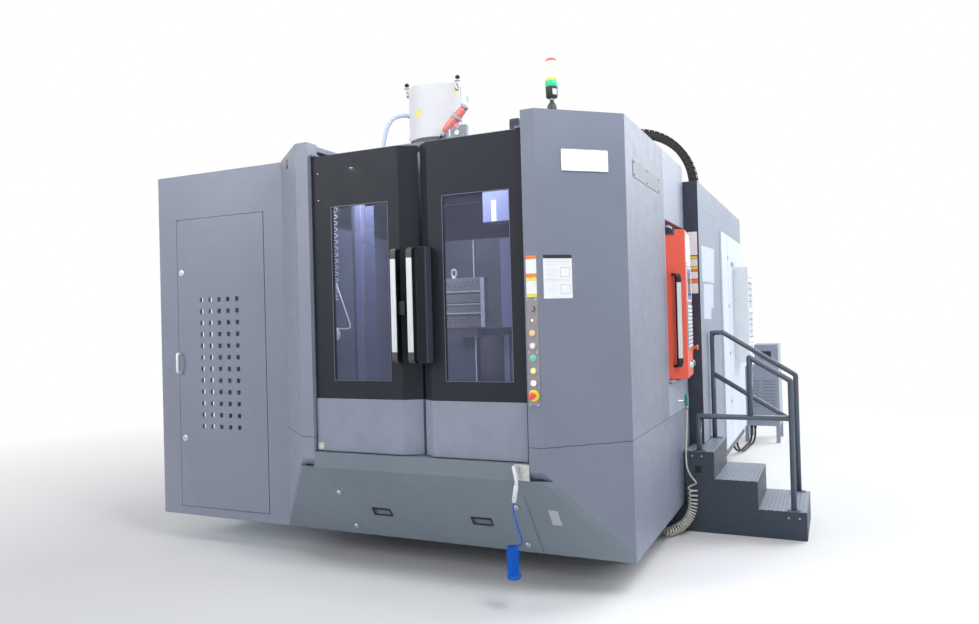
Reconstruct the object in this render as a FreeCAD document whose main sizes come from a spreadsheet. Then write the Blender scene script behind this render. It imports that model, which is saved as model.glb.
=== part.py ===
"""Horizontal machining centre with a front pallet set-up station.

Millimetres, +Z up.  Every shape is laid out from the foot line of the front guard (Y = 0) and the middle
of the front door opening (X = 0).  The placements then move it so that the origin is the floor point
under the axis of the pallet changer.
"""
import FreeCAD, Part
import math
import os

import Sketcher

from FreeCAD import Vector

doc = FreeCAD.newDocument("MachiningCentre")
sheet = doc.addObject("Spreadsheet::Sheet", "Dims")

DIMENSIONS = {
    # guards, levels
    "floor_gap": 205,            # free height under the guards
    "guard_top": 2693,           # roof level of the front housing
    "skirt_seam": 878,           # joint between skirt and upper guard
    "sheet_wall": 30,            # depth of a folded guard panel
    "wall_along_x": 45,          # the same wall measured along X on the angled corners
    "sill_low": 698,
    "sill_high": 790,
    # guards, plan
    "porch_depth": 357,          # how far the door posts stand in front of the foot line
    "left_corner_x": -1209,
    "left_post_x": -800,
    "left_jamb_x": -709,
    "right_jamb_x": 705,
    "right_post_x": 787,
    "right_corner_x": 1183,
    "side_length": 1740,
    "side_seam_y": 1009,
    "jamb_depth": 96,
    # service bay
    "fascia_left_x": -2366,
    "fascia_top": 2687,
    "service_door_left": -2194,
    "service_door_right": -1374,
    "service_door_low": 265,
    "service_door_high": 2364,
    "service_hinge_x": -1393,
    "vent_pitch": 83,
    "vent_size": 31,
    "vent_left": -1961,
    "vent_low": 854,
    # front doors
    "door_face_y": -326,
    "door_skin": 30,
    "door_low": 797,
    "door_high": 2602,
    "kick_top": 1116,
    "left_door_edge": -700,
    "left_fold_x": -87,
    "left_meet_x": 18,
    "left_hinge_x": -684,
    "right_door_edge": 690,
    "right_fold_x": 109,
    "right_meet_x": 34,
    "right_hinge_x": 674,
    "hinge_y": -313,
    "meet_y": -270,
    "window_low": 1227,
    "window_high": 2283,
    "left_window_a": -565,
    "left_window_b": -161,
    "right_window_a": 200,
    "right_window_b": 616,
    "grip_low": 1332,
    "grip_high": 1997,
    "grip_standoff": 66,
    "grip_width": 35,
    # front apron
    "apron_along_y": 37,         # the sloping sheet measured along Y
    "hatch_left": -655,
    "hatch_right": 631,
    "hatch_front_y": -279,
    "hatch_back_y": -16,
    # operator pod
    "recess_low": 1101,
    "recess_high": 2220,
    "pod_low": 1127,
    "pod_high": 2162,
    "pod_pivot_x": 1172,
    "pod_pivot_y": 1150,
    # rear housing
    "rear_front_y": 1783,
    "rear_back_y": 4600,
    "rear_side_x": 1286,
    "rear_left_x": -1130,
    "rear_top": 2589,
    "plinth_low": 258,
    "plinth_high": 337,
    # pallet changer
    "pallet_axis_y": 305,
    "changer_axis_y": 785,
    "pallet_size": 400,
    "pallet_low": 1465,
    "pallet_high": 1525,
    # steps
    "step_near_y": 1466,
    "step_far_y": 2151,
    "riser": 193,
    "platform_x": 1398,
    "tread_two_x": 1690,
    "tread_one_x": 2004,
    "rail_tube": 38,
}

for row, (alias, value) in enumerate(DIMENSIONS.items(), start=1):
    sheet.set(f"A{row}", alias)
    sheet.set(f"B{row}", str(value))
    sheet.setAlias(f"B{row}", alias)
doc.recompute()


class Size:
    """A length in millimetres together with the sheet formula that gives it."""

    def __init__(self, value, formula=None):
        self.value = float(value)
        self.formula = formula if formula is not None else f"{float(value):g}"
        self.bound = formula is not None

    def _join(self, other, sign, value):
        other = size(other)
        joined = Size(value, f"({self.formula} {sign} {other.formula})")
        joined.bound = self.bound or other.bound
        return joined

    def __add__(self, other):
        return self._join(other, "+", self.value + size(other).value)

    def __sub__(self, other):
        return self._join(other, "-", self.value - size(other).value)

    def __mul__(self, other):
        return self._join(other, "*", self.value * size(other).value)

    def __truediv__(self, other):
        return self._join(other, "/", self.value / size(other).value)

    def __radd__(self, other):
        return size(other) + self

    def __rsub__(self, other):
        return size(other) - self

    def __rmul__(self, other):
        return size(other) * self

    def __neg__(self):
        return size(0) - self


def size(value):
    """Wrap a plain number; leave a Size as it is."""
    return value if isinstance(value, Size) else Size(value)


class Dims:
    """The sheet's cells as attributes."""


D = Dims()
for alias, value in DIMENSIONS.items():
    setattr(D, alias, Size(value, f"Dims.{alias}"))

sub_parts = []


def finish(obj, label):
    """Name a finished sub-part and put it on the list of nodes."""
    obj.Label = label
    sub_parts.append(obj)
    return obj


def bind(obj, path, length):
    """Tie one property of an object to its sheet formula."""
    obj.setExpression(path, size(length).formula)


def put(obj, x, y, z):
    """Place a primitive; Y is measured from the foot line."""
    y = size(y) - D.changer_axis_y
    obj.Placement.Base = Vector(size(x).value, y.value, size(z).value)
    bind(obj, ".Placement.Base.x", x)
    bind(obj, ".Placement.Base.y", y)
    bind(obj, ".Placement.Base.z", z)


def box(name, x0, x1, y0, y1, z0, z1):
    """A block between two corners."""
    block = doc.addObject("Part::Box", name)
    for prop, low, high in (("Length", x0, x1), ("Width", y0, y1), ("Height", z0, z1)):
        span = size(high) - size(low)
        setattr(block, prop, span.value)
        bind(block, prop, span)
    put(block, x0, y0, z0)
    return block


AXIS_TURN = {
    "X": FreeCAD.Rotation(Vector(0, 0, 1), Vector(1, 0, 0)),
    "Y": FreeCAD.Rotation(Vector(0, 0, 1), Vector(0, 1, 0)),
    "Z": FreeCAD.Rotation(),
}


def rod(name, x, y, z, radius, length, axis="Z"):
    """A round bar from a start point along +X, +Y, +Z or a given direction."""
    bar = doc.addObject("Part::Cylinder", name)
    bar.Radius = size(radius).value
    bar.Height = size(length).value
    bind(bar, "Radius", radius)
    bind(bar, "Height", length)
    turn = AXIS_TURN[axis] if isinstance(axis, str) else FreeCAD.Rotation(Vector(0, 0, 1), axis)
    bar.Placement.Rotation = turn
    put(bar, x, y, z)
    return bar


def fuse(name, shapes, label=None):
    """Several solids that are one piece, or one group of like pieces."""
    joined = doc.addObject("Part::MultiFuse", name)
    joined.Shapes = shapes
    return finish(joined, label) if label else joined


def group(name, shapes, label):
    """Like pieces that stay separate solids in one node."""
    bundle = doc.addObject("Part::Compound", name)
    bundle.Links = shapes
    return finish(bundle, label)


def cut(name, base, tools, label=None):
    """Take one or more tools out of a solid."""
    tool = tools[0] if len(tools) == 1 else fuse(name + "_tools", tools)
    result = doc.addObject("Part::Cut", name)
    result.Base = base
    result.Tool = tool
    return finish(result, label) if label else result


# ---------------------------------------------------------------- bodies drawn as sketches

def new_body(label, listed=True):
    """An empty body that carries the shift from the foot line to the origin."""
    body = doc.addObject("PartDesign::Body", label)
    put(body, 0, 0, 0)
    return finish(body, label) if listed else body


def plane_of(body, role):
    """One of the body's own origin planes."""
    return next(f for f in body.Origin.OriginFeatures if f.Role == role)


def profile(body, role, name, points, offset=0):
    """A closed outline on an origin plane; each corner is dimensioned from the plane's centre."""
    sketch = body.newObject("Sketcher::SketchObject", name)
    sketch.AttachmentSupport = [(plane_of(body, role), "")]
    sketch.MapMode = "FlatFace"
    sketch.AttachmentOffset = FreeCAD.Placement(Vector(0, 0, size(offset).value), FreeCAD.Rotation())
    bind(sketch, ".AttachmentOffset.Base.z", offset)
    corners = [(size(u), size(v)) for u, v in points]
    flat = [Vector(u.value, v.value, 0) for u, v in corners]
    count = len(flat)
    sketch.addGeometry([Part.LineSegment(flat[i], flat[(i + 1) % count]) for i in range(count)], False)
    sketch.addConstraint([Sketcher.Constraint("Coincident", i, 2, (i + 1) % count, 1) for i in range(count)])
    for index, (u, v) in enumerate(corners):
        for kind, length in (("DistanceX", u), ("DistanceY", v)):
            number = sketch.addConstraint(Sketcher.Constraint(kind, index, 1, length.value))
            if length.bound:
                sketch.setExpression(f"Constraints[{number}]", length.formula)
    return sketch


def pad(body, sketch, length, reverse=False):
    """Raise an outline."""
    feature = body.newObject("PartDesign::Pad", sketch.Name + "_pad")
    feature.Profile = sketch
    feature.Length = size(length).value
    bind(feature, "Length", length)
    feature.Reversed = reverse
    return feature


def pocket(body, sketch, length=None, reverse=False):
    """Cut an outline, right through in both directions when no depth is given."""
    feature = body.newObject("PartDesign::Pocket", sketch.Name + "_pocket")
    feature.Profile = sketch
    if length is None:
        feature.Type = 1
        feature.Midplane = True
    else:
        feature.Length = size(length).value
        bind(feature, "Length", length)
        feature.Reversed = reverse
    return feature


def rectangle(u0, u1, v0, v1):
    """Corners of an upright rectangle."""
    return [(u0, v0), (u1, v0), (u1, v1), (u0, v1)]


def disc(body, role, name, u, v, radius, offset=0):
    """A circle on an origin plane."""
    sketch = body.newObject("Sketcher::SketchObject", name)
    sketch.AttachmentSupport = [(plane_of(body, role), "")]
    sketch.MapMode = "FlatFace"
    sketch.AttachmentOffset = FreeCAD.Placement(Vector(0, 0, size(offset).value), FreeCAD.Rotation())
    bind(sketch, ".AttachmentOffset.Base.z", offset)
    centre = Vector(size(u).value, size(v).value, 0)
    sketch.addGeometry(Part.Circle(centre, Vector(0, 0, 1), size(radius).value), False)
    for constraint, length in (
        (Sketcher.Constraint("DistanceX", 0, 3, centre.x), size(u)),
        (Sketcher.Constraint("DistanceY", 0, 3, centre.y), size(v)),
        (Sketcher.Constraint("Radius", 0, size(radius).value), size(radius)),
    ):
        number = sketch.addConstraint(constraint)
        if length.bound:
            sketch.setExpression(f"Constraints[{number}]", length.formula)
    return sketch


def plan_piece(label, outline, low, high, listed=True):
    """A vertical-walled piece raised from its plan outline."""
    body = new_body(label, listed)
    pad(body, profile(body, "XY_Plane", label + "_plan", outline, low), size(high) - size(low))
    return body


# ---------------------------------------------------------------- foundation

def make_base():
    """The T-shaped cast bed with the ways of the table and the column, and the sheet pan around it."""
    pan_top = D.plinth_high
    bed_top = 225
    fuse("bed_blocks", [
        box("bed_foot", -1000, 1000, 640, 4500, 0, bed_top),
        box("bed_table_ways", -380, 380, 930, 2620, bed_top, 760),
        box("bed_column_ways", -620, 620, 2850, 3600, bed_top, 625),
    ], "base_bed")
    pan = fuse("pan_blocks", [
        box("front_pan", D.left_corner_x + D.sheet_wall, D.right_corner_x - D.sheet_wall, 30, D.side_length,
            bed_top, pan_top),
        box("pan_bridge", -1000, 1000, D.side_length, D.rear_front_y + 10, bed_top, pan_top),
        box("rear_pan", -1000, 1000, D.rear_front_y + 10, 4500, bed_top, D.plinth_low),
        box("rear_plinth", D.rear_left_x + 10, D.rear_side_x - 10, D.rear_front_y + 10, D.rear_back_y - 10,
            D.plinth_low, pan_top),
        rod("changer_socket", 0, D.changer_axis_y, pan_top, 125, 260),
    ])
    cut("pan_with_openings", pan, [
        box("pan_table_opening", -380, 380, 930, 2620, 200, 400),
        box("pan_column_opening", -620, 620, 2850, 3600, 200, 400),
        rod("changer_bore", 0, D.changer_axis_y, pan_top, 95.05, 270),
    ], "floor_frame")


# ---------------------------------------------------------------- front guards

PORCH_IN = D.sheet_wall - D.porch_depth
PORCH_BACK = D.jamb_depth - D.porch_depth


def inner_post(corner_x, post_x, wall_x):
    """X of the inner fold of an angled corner, level with the inside of the post."""
    return corner_x + wall_x + (post_x - corner_x) * ((D.porch_depth - D.sheet_wall) / D.porch_depth)


def left_corner_outline():
    """Plan of the folded sheet at the left: angled face, post face and jamb."""
    return [
        (D.left_corner_x, 0),
        (D.left_post_x, -D.porch_depth),
        (D.left_jamb_x, -D.porch_depth),
        (D.left_jamb_x, PORCH_BACK),
        (D.left_jamb_x - D.sheet_wall, PORCH_BACK),
        (D.left_jamb_x - D.sheet_wall, PORCH_IN),
        (inner_post(D.left_corner_x, D.left_post_x, D.wall_along_x), PORCH_IN),
        (D.left_corner_x + D.wall_along_x, 0),
    ]


def control_outline(back_y):
    """Plan of the folded sheet at the right: jamb, post face, angled face and side."""
    inner_x = D.right_corner_x - D.sheet_wall
    inner_y = (D.wall_along_x - D.sheet_wall) * D.porch_depth / (D.right_corner_x - D.right_post_x)
    return [
        (D.right_jamb_x, PORCH_BACK),
        (D.right_jamb_x, -D.porch_depth),
        (D.right_post_x, -D.porch_depth),
        (D.right_corner_x, 0),
        (D.right_corner_x, back_y),
        (inner_x, back_y),
        (inner_x, inner_y),
        (inner_post(D.right_corner_x, D.right_post_x, -D.wall_along_x), PORCH_IN),
        (D.right_jamb_x + D.sheet_wall, PORCH_IN),
        (D.right_jamb_x + D.sheet_wall, PORCH_BACK),
    ]


def slope_at(y, shift=0):
    """Height of the sloping apron over a place Y."""
    return D.floor_gap - (size(y) - shift) * (D.sill_low - D.floor_gap) / D.porch_depth


def trim_to_apron(body):
    """Cut a skirt away below the inner face of the sloping apron."""
    far = -D.porch_depth * 2
    wedge = [
        (D.apron_along_y, D.floor_gap),
        (far, slope_at(far, D.apron_along_y)),
        (far, D.floor_gap),
    ]
    pocket(body, profile(body, "YZ_Plane", body.Name + "_wedge", wedge))


def sloping_sheet(name, x0, x1, front, back):
    """A sheet parallel to the apron, between two depths along Y from the apron's outer face."""
    body = new_body(name, listed=False)
    section = [
        (front, D.floor_gap),
        (back, D.floor_gap),
        (back - D.porch_depth, D.sill_low),
        (front - D.porch_depth, D.sill_low),
    ]
    pad(body, profile(body, "YZ_Plane", name + "_section", section, x0), size(x1) - size(x0))
    return body


def part_of(name, shape, x0, x1, y0, y1):
    """What lies of a shape over a rectangle of the floor."""
    common = doc.addObject("Part::Common", name)
    common.Base = shape
    common.Tool = box(name + "_range", x0, x1, y0, y1, 100, 800)
    return common


def top_hinge(side, x0, x1, hinge_x):
    """The bracket on a jamb and the pin that hold the upper end of a door leaf."""
    return [
        box(f"{side}_top_bracket", x0, x1, D.hinge_y - 20, D.hinge_y + 20, D.door_high + 4, D.door_high + 16),
        rod(f"{side}_top_pin", hinge_x, D.hinge_y, D.door_high - 20, 6, 24),
    ]


def foot_hinge(side, hinge_x):
    """The washer and pin on the sill that carry a door leaf."""
    gap = D.door_low - D.sill_high
    return [
        rod(f"{side}_foot_washer", hinge_x, D.hinge_y, D.sill_high, 13, gap),
        rod(f"{side}_foot_pin", hinge_x, D.hinge_y, D.sill_high, 6, gap + 20),
    ]


def make_front_guards():
    upper_low = D.skirt_seam + 3
    left_cover = plan_piece("left_cover_sheet", left_corner_outline(), upper_low, D.guard_top, listed=False)
    left_bracket = top_hinge("left", D.left_jamb_x, D.left_hinge_x + 14, D.left_hinge_x)
    fuse("left_cover_parts", [left_cover] + left_bracket, "left_corner_cover")
    trim_to_apron(plan_piece("left_corner_skirt", left_corner_outline(), D.floor_gap, D.skirt_seam))
    housing = plan_piece("control_sheet", control_outline(D.side_seam_y), upper_low, D.guard_top, listed=False)
    right_bracket = top_hinge("right", D.right_hinge_x - 14, D.right_jamb_x, D.right_hinge_x)
    fuse("control_housing_parts", [housing] + right_bracket, "control_housing")
    skirt = plan_piece("control_housing_skirt", control_outline(D.side_length), D.floor_gap, D.skirt_seam)
    trim_to_apron(skirt)
    seam = rectangle(D.side_seam_y, D.side_seam_y + 3, D.floor_gap, D.skirt_seam)
    pocket(skirt, profile(skirt, "YZ_Plane", "skirt_seam_line", seam, D.right_corner_x), 4)

    apron = sloping_sheet("apron_sheet", D.left_corner_x, D.right_corner_x, 0, D.apron_along_y)
    for name, corner, post, side in (("left", D.left_corner_x, D.left_post_x, -1),
                                     ("right", D.right_corner_x, D.right_post_x, 1)):
        beyond = corner + 80 * side
        corner_plan = [(corner, 0), (post, -D.porch_depth), (beyond, -D.porch_depth), (beyond, 0)]
        pocket(apron, profile(apron, "XY_Plane", f"apron_{name}_corner", corner_plan))
    opening = box("hatch_opening", D.hatch_left - 3, D.hatch_right + 3, D.hatch_front_y - 3,
                  D.hatch_back_y + 3, 100, 800)
    open_apron = cut("apron_cut", apron, [opening])
    sill = box("sill_block", D.left_jamb_x, D.right_jamb_x, -D.porch_depth, -230, D.sill_low, D.sill_high)
    foot_pins = foot_hinge("left", D.left_hinge_x) + foot_hinge("right", D.right_hinge_x)
    fuse("apron_and_sill", [open_apron, sill] + foot_pins, "front_apron")

    rim = 10
    flange = part_of("hatch_flange", sloping_sheet("flange_sheet", -800, 800, -5, 0), D.hatch_left - rim,
                     D.hatch_right + rim, D.hatch_front_y - rim, D.hatch_back_y + rim)
    core = part_of("hatch_core", sloping_sheet("core_sheet", -800, 800, 0, 30), D.hatch_left, D.hatch_right,
                   D.hatch_front_y, D.hatch_back_y)
    pulls = [box(f"hatch_pull_{i}", x, x + 120, -158, -131, slope_at(-131) - 12, slope_at(-158) + 10)
             for i, x in enumerate((-424, 258))]
    open_panel = cut("hatch_with_pulls", fuse("hatch_panel", [flange, core]), pulls)
    outward = Vector(0, D.floor_gap.value - D.sill_low.value, -D.porch_depth.value)
    locks = [rod(f"hatch_lock_{i}", x, y + 8, slope_at(y) + 6, 11, 22, outward)
             for i, (x, y) in enumerate(((-615, -235), (-620, -50), (574, -233), (562, -44)))]
    fuse("hatch_and_locks", [open_panel] + locks, "hatch_cover")


def make_side_and_roof():
    """The side behind the control housing with the pod's recess, the left wall and the roof."""
    seam_y = D.side_seam_y + 3
    inner_x = D.right_corner_x - D.sheet_wall
    panel = box("side_sheet", inner_x, D.right_corner_x, seam_y, D.side_length, D.skirt_seam + 3, D.guard_top)
    lining = box("recess_block", 870, inner_x, 1005, D.side_length, D.recess_low - 30, D.recess_high + 30)
    recess = box("recess_space", 900, D.right_corner_x + 10, 1035, D.side_length + 10,
                 D.recess_low, D.recess_high)
    walls = cut("recess_walls", fuse("side_blocks", [panel, lining]), [recess])
    brackets = [rod("pod_washer", D.pod_pivot_x, D.pod_pivot_y, D.pod_low - 4, 20, 4)]
    for name, low, pin_low in (
        ("top", D.pod_high + 4, D.pod_high - 22),
        ("bottom", D.pod_low - 16, D.pod_low - 4),
    ):
        brackets.append(box(f"pod_bracket_{name}", 1120, 1205, 1035, 1175, low, low + 12))
        brackets.append(rod(f"pod_pin_{name}", D.pod_pivot_x, D.pod_pivot_y, pin_low, 12, 26))
    fuse("side_with_brackets", [walls] + brackets, "side_panel_rear")

    left_plan = rectangle(D.left_corner_x, D.left_corner_x + D.sheet_wall, 0, D.side_length)
    left_wall = plan_piece("left_wall", left_plan, D.floor_gap, D.guard_top, listed=False)
    trim_to_apron(left_wall)
    roof_plan = [
        (D.left_corner_x + D.wall_along_x, 0),
        (inner_post(D.left_corner_x, D.left_post_x, D.wall_along_x), PORCH_IN),
        (D.left_jamb_x - D.sheet_wall, PORCH_IN),
        (D.left_jamb_x - D.sheet_wall, 0),
        (D.right_jamb_x + D.sheet_wall, 0),
        (D.right_jamb_x + D.sheet_wall, PORCH_IN),
        (inner_post(D.right_corner_x, D.right_post_x, -D.wall_along_x), PORCH_IN),
        (D.right_corner_x - D.wall_along_x, 0),
        (D.right_corner_x - D.wall_along_x, D.side_length),
        (D.left_corner_x + D.wall_along_x, D.side_length),
    ]
    roof = plan_piece("roof_sheet", roof_plan, D.guard_top - D.sheet_wall, D.guard_top, listed=False)
    strips = [
        box("roof_strip_left", D.left_corner_x + D.sheet_wall, D.left_corner_x + D.wall_along_x, 0,
            D.side_length, D.guard_top - D.sheet_wall, D.guard_top),
        box("roof_strip_right", D.right_corner_x - D.wall_along_x, D.right_corner_x - D.sheet_wall, 14,
            D.side_length, D.guard_top - D.sheet_wall, D.guard_top),
    ]
    fuse("wall_and_roof", [left_wall, roof] + strips, "housing_panels")


def make_station_inside():
    """Splash guards, the low wall behind the front pallet, the lamp post and the lamp box."""
    guards = []
    for name, x in (("left", -836), ("right", 826)):
        body = new_body(f"guard_{name}", listed=False)
        crown = [(y, 2216 - (y - 300) ** 2 * 0.00022) for y in (760, 500, 300, 100, -100, -240)]
        outline = [(-240, 620), (-30, D.plinth_high), (760, D.plinth_high)] + crown
        pad(body, profile(body, "YZ_Plane", f"guard_{name}_outline", outline, x), 10)
        guards.append(body)
    low_wall_top = D.pallet_low - 10
    for name, x0, x1 in (("left", -836, -140), ("right", 140, 836)):
        guards.append(box(f"low_wall_{name}", x0, x1, 760, 775, D.plinth_high, low_wall_top))
    lamp = box("lamp_post", -631, -557, -15, 35, D.plinth_high, 2420)
    lamp_box = box("lamp_box", 197, 460, 240, 360, 2189, D.guard_top - D.sheet_wall)
    hose_hook = rod("wash_hook", D.left_jamb_x, -269, 2300, 8, 112, "X")
    group("station_pieces", guards + [lamp, lamp_box, hose_hook], "station_guards")


# ---------------------------------------------------------------- service bay

def make_service_bay():
    fascia = new_body("fascia_sheets", listed=False)
    sheet_outline = rectangle(D.fascia_left_x, D.left_corner_x, D.floor_gap, D.fascia_top)
    pad(fascia, profile(fascia, "XZ_Plane", "fascia_sheet", sheet_outline), 25, reverse=True)
    hole = rectangle(D.service_door_left, D.service_door_right, D.service_door_low, D.service_door_high)
    pocket(fascia, profile(fascia, "XZ_Plane", "fascia_door_hole", hole))
    flange = rectangle(D.fascia_left_x, D.fascia_left_x + 25, 25, 90)
    pad(fascia, profile(fascia, "XY_Plane", "fascia_flange", flange, D.floor_gap), D.fascia_top - D.floor_gap)
    pins = [
        rod("service_pin_low", D.service_hinge_x, 11, D.service_door_low, 5, 20),
        rod("service_washer", D.service_hinge_x, 11, D.service_door_low, 9, 4),
        rod("service_pin_high", D.service_hinge_x, 11, D.service_door_high - 20, 5, 20),
    ]
    fuse("fascia_parts", [fascia] + pins, "service_fascia")

    door = new_body("service_door_sheet", listed=False)
    outline = rectangle(D.service_door_left + 4, D.service_door_right - 6, D.service_door_low + 4,
                        D.service_door_high - 4)
    pad(door, profile(door, "XZ_Plane", "service_door_outline", outline), 22, reverse=True)
    half = D.vent_size / 2
    vent = rectangle(D.vent_left - half, D.vent_left + half, D.vent_low - half, D.vent_low + half)
    first_sketch = profile(door, "XZ_Plane", "vent_hole", vent)
    first_vent = pocket(door, first_sketch)
    doc.recompute()
    vents = body_grid(door, first_sketch, first_vent, 5, 12, D.vent_pitch)
    door.Tip = vents
    for name, offset, reverse in (("high", D.service_door_high - 4, False), ("low", D.service_door_low + 4, True)):
        hole = disc(door, "XY_Plane", f"service_pin_hole_{name}", D.service_hinge_x, 11, 5.05, offset)
        pocket(door, hole, 18, reverse=reverse)
    for name, x, z in (("upper", -2149, 1971), ("lower", -2145, 762)):
        pocket(door, disc(door, "XZ_Plane", f"{name}_lock_hole", x, z, 13.05))
        finish(rod(f"{name}_lock", x, -6, z, 13, 28, "Y"), f"{name}_door_lock")
    pull = grip_body("service_pull", -2166, 0, 1236, 1390, 48, 14, 14, 14)
    fuse("service_door_parts", [door, pull], "service_door")

    frame = box("service_frame", D.fascia_left_x + 36, D.left_corner_x, 60, 1600, 225, 275)
    legs = [box(f"service_leg_{i}", x, x + 60, y, y + 60, 0, 225)
            for i, (x, y) in enumerate(((-2300, 700), (-2300, 1500), (-1400, 1500)))]
    tank = box("coolant_tank", -2049, -1260, 218, 800, 275, 1015)
    unit = box("cooling_unit", -2049, -1300, 218, 780, 1030, 1900)
    feet = box("unit_feet", -1900, -1400, 300, 700, 1015, 1030)
    fuse("service_blocks", [frame, tank, unit, feet] + legs, "service_unit")


def body_grid(body, sketch, feature, across, up, pitch):
    """Repeat a pocket in even columns and rows."""
    grid = body.newObject("PartDesign::MultiTransform", feature.Name + "_grid")
    steps = []
    for axis, count in (("H_Axis", across), ("V_Axis", up)):
        step = body.newObject("PartDesign::LinearPattern", f"{feature.Name}_{axis}")
        step.Direction = (sketch, [axis])
        step.Length = (pitch * (count - 1)).value
        bind(step, "Length", pitch * (count - 1))
        step.Occurrences = count
        steps.append(step)
    grid.Originals = [feature]
    grid.Transformations = steps
    return grid


def grip_body(name, foot_x, foot_y, low, high, standoff, width, thick, leg, turn=0, round_off=14):
    """A bar grip on two legs, standing off a face; turn swings it about the vertical through its foot."""
    body = new_body(name, listed=False)
    low, high, standoff = size(low), size(high), size(standoff)
    section = [
        (0, low),
        (round_off - standoff, low),
        (-standoff, low + round_off),
        (-standoff, high - round_off),
        (round_off - standoff, high),
        (0, high),
        (0, high - leg),
        (thick - standoff, high - leg),
        (thick - standoff, low + leg),
        (0, low + leg),
    ]
    pad(body, profile(body, "YZ_Plane", name + "_section", section, -size(width) / 2), width)
    body.Placement.Rotation = FreeCAD.Rotation(Vector(0, 0, 1), turn)
    put(body, foot_x, foot_y, 0)
    return body


# ---------------------------------------------------------------- front doors

def make_door(side, edge_x, hinge_x, fold_x, meet_x, window_a, window_b):
    """One leaf: a folded skin with a window and a proud kick plate."""
    inner_face = D.door_face_y + D.door_skin
    inner_fold = fold_x - 7 if side == "left" else fold_x + 9
    inner_meet = D.meet_y + D.door_skin + 5
    outline = [
        (edge_x, D.door_face_y),
        (fold_x, D.door_face_y),
        (meet_x, D.meet_y),
        (meet_x, inner_meet),
        (inner_fold, inner_face),
        (edge_x, inner_face),
    ]
    skin = plan_piece(f"{side}_door_skin", outline, D.door_low, D.door_high)
    hole = rectangle(window_a, window_b, D.window_low, D.window_high)
    pocket(skin, profile(skin, "XZ_Plane", f"{side}_window_hole", hole))
    kick = [
        (edge_x, D.door_face_y - 4),
        (fold_x, D.door_face_y - 4),
        (meet_x, D.meet_y - 4),
        (meet_x, D.meet_y),
        (fold_x, D.door_face_y),
        (edge_x, D.door_face_y),
    ]
    kick_sketch = profile(skin, "XY_Plane", f"{side}_kick", kick, D.door_low)
    pad(skin, kick_sketch, D.kick_top - D.door_low)
    for name, offset, reverse in (("top", D.door_high, False), ("foot", D.door_low, True)):
        hole = disc(skin, "XY_Plane", f"{side}_{name}_pin_hole", hinge_x, D.hinge_y, 6.05, offset)
        pocket(skin, hole, 22, reverse=reverse)
    finish(box(f"{side}_pane", window_a, window_b, D.door_face_y + 8, D.door_face_y + 18, D.window_low,
               D.window_high), f"{side}_door_window")


def make_doors():
    make_door("left", D.left_door_edge, D.left_hinge_x, D.left_fold_x, D.left_meet_x, D.left_window_a,
              D.left_window_b)
    make_door("right", D.right_door_edge, D.right_hinge_x, D.right_fold_x, D.right_meet_x, D.right_window_a,
              D.right_window_b)
    left_grip = grip_body("left_grip", -95, D.door_face_y, D.grip_low, D.grip_high, D.grip_standoff,
                          D.grip_width, 14, 30, round_off=24)
    finish(left_grip, "left_door_handle")
    bracket = box("right_grip_bracket", 66, 128, -400, D.door_face_y, D.grip_low, D.grip_high)
    bracket_back = box("right_grip_back", 90, 128, D.door_face_y, D.door_face_y + 8, D.grip_low, D.grip_high)
    clear = box("right_fold_space", 60, D.right_fold_x, D.door_face_y - 8, D.door_face_y + 60,
                D.grip_low - 5, D.grip_high + 5)
    bar = box("right_bar", 31, 66, -416, -402, D.grip_low, D.grip_high)
    ends = [box(f"right_bar_end_{i}", 31, 66, -402, -372, z, z + 30)
            for i, z in enumerate((D.grip_low, D.grip_high - 30))]
    cut("right_handle_cut", fuse("right_handle_blocks", [bracket, bar] + ends), [clear, bracket_back],
        "right_door_handle")


# ---------------------------------------------------------------- operator controls

BUTTONS = (
    ("orange", 1493),
    ("white", 1425),
    ("teal", 1359),
    ("yellow", 1292),
    ("lit", 1226),
)


def make_controls():
    face = -D.porch_depth
    x = 746
    plate = box("strip_plate", 714, 781, face - 3, face, 1108, 1678)
    bezels = [rod(f"{name}_bezel", x, face - 9, z, 15, 6, "Y") for name, z in BUTTONS]
    selector = rod("selector", x, face - 16, 1623, 15, 13, "Y")
    pilot = rod("pilot_lamp", x, face - 6, 1561, 6, 3, "Y")
    stop_plate = rod("stop_plate", x, face - 9, 1160, 31, 6, "Y")
    holes = [rod(f"{name}_hole", x, face - 10, z, 11.05, 11, "Y") for name, z in BUTTONS]
    stop_hole = rod("stop_hole", x, face - 10, 1160, 12.05, 11, "Y")
    cut("strip_cut", fuse("strip_blocks", [plate, selector, pilot, stop_plate] + bezels), holes + [stop_hole],
        "button_strip")
    for name, z in BUTTONS:
        finish(rod(f"{name}_cap", x, face - 14, z, 11, 9.4, "Y"), f"{name}_button")
    fuse("stop_button", [
        rod("stop_stem", x, face - 34, 1160, 12, 28, "Y"),
        rod("stop_head", x, face - 52, 1160, 20, 18, "Y"),
    ], "strip_emergency_stop")


POD_NEAR = (1168, 1109)
POD_FRONT = (1279, 1218)
POD_FAR = (1241, 1651)
POD_BACK_X = 1044


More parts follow.
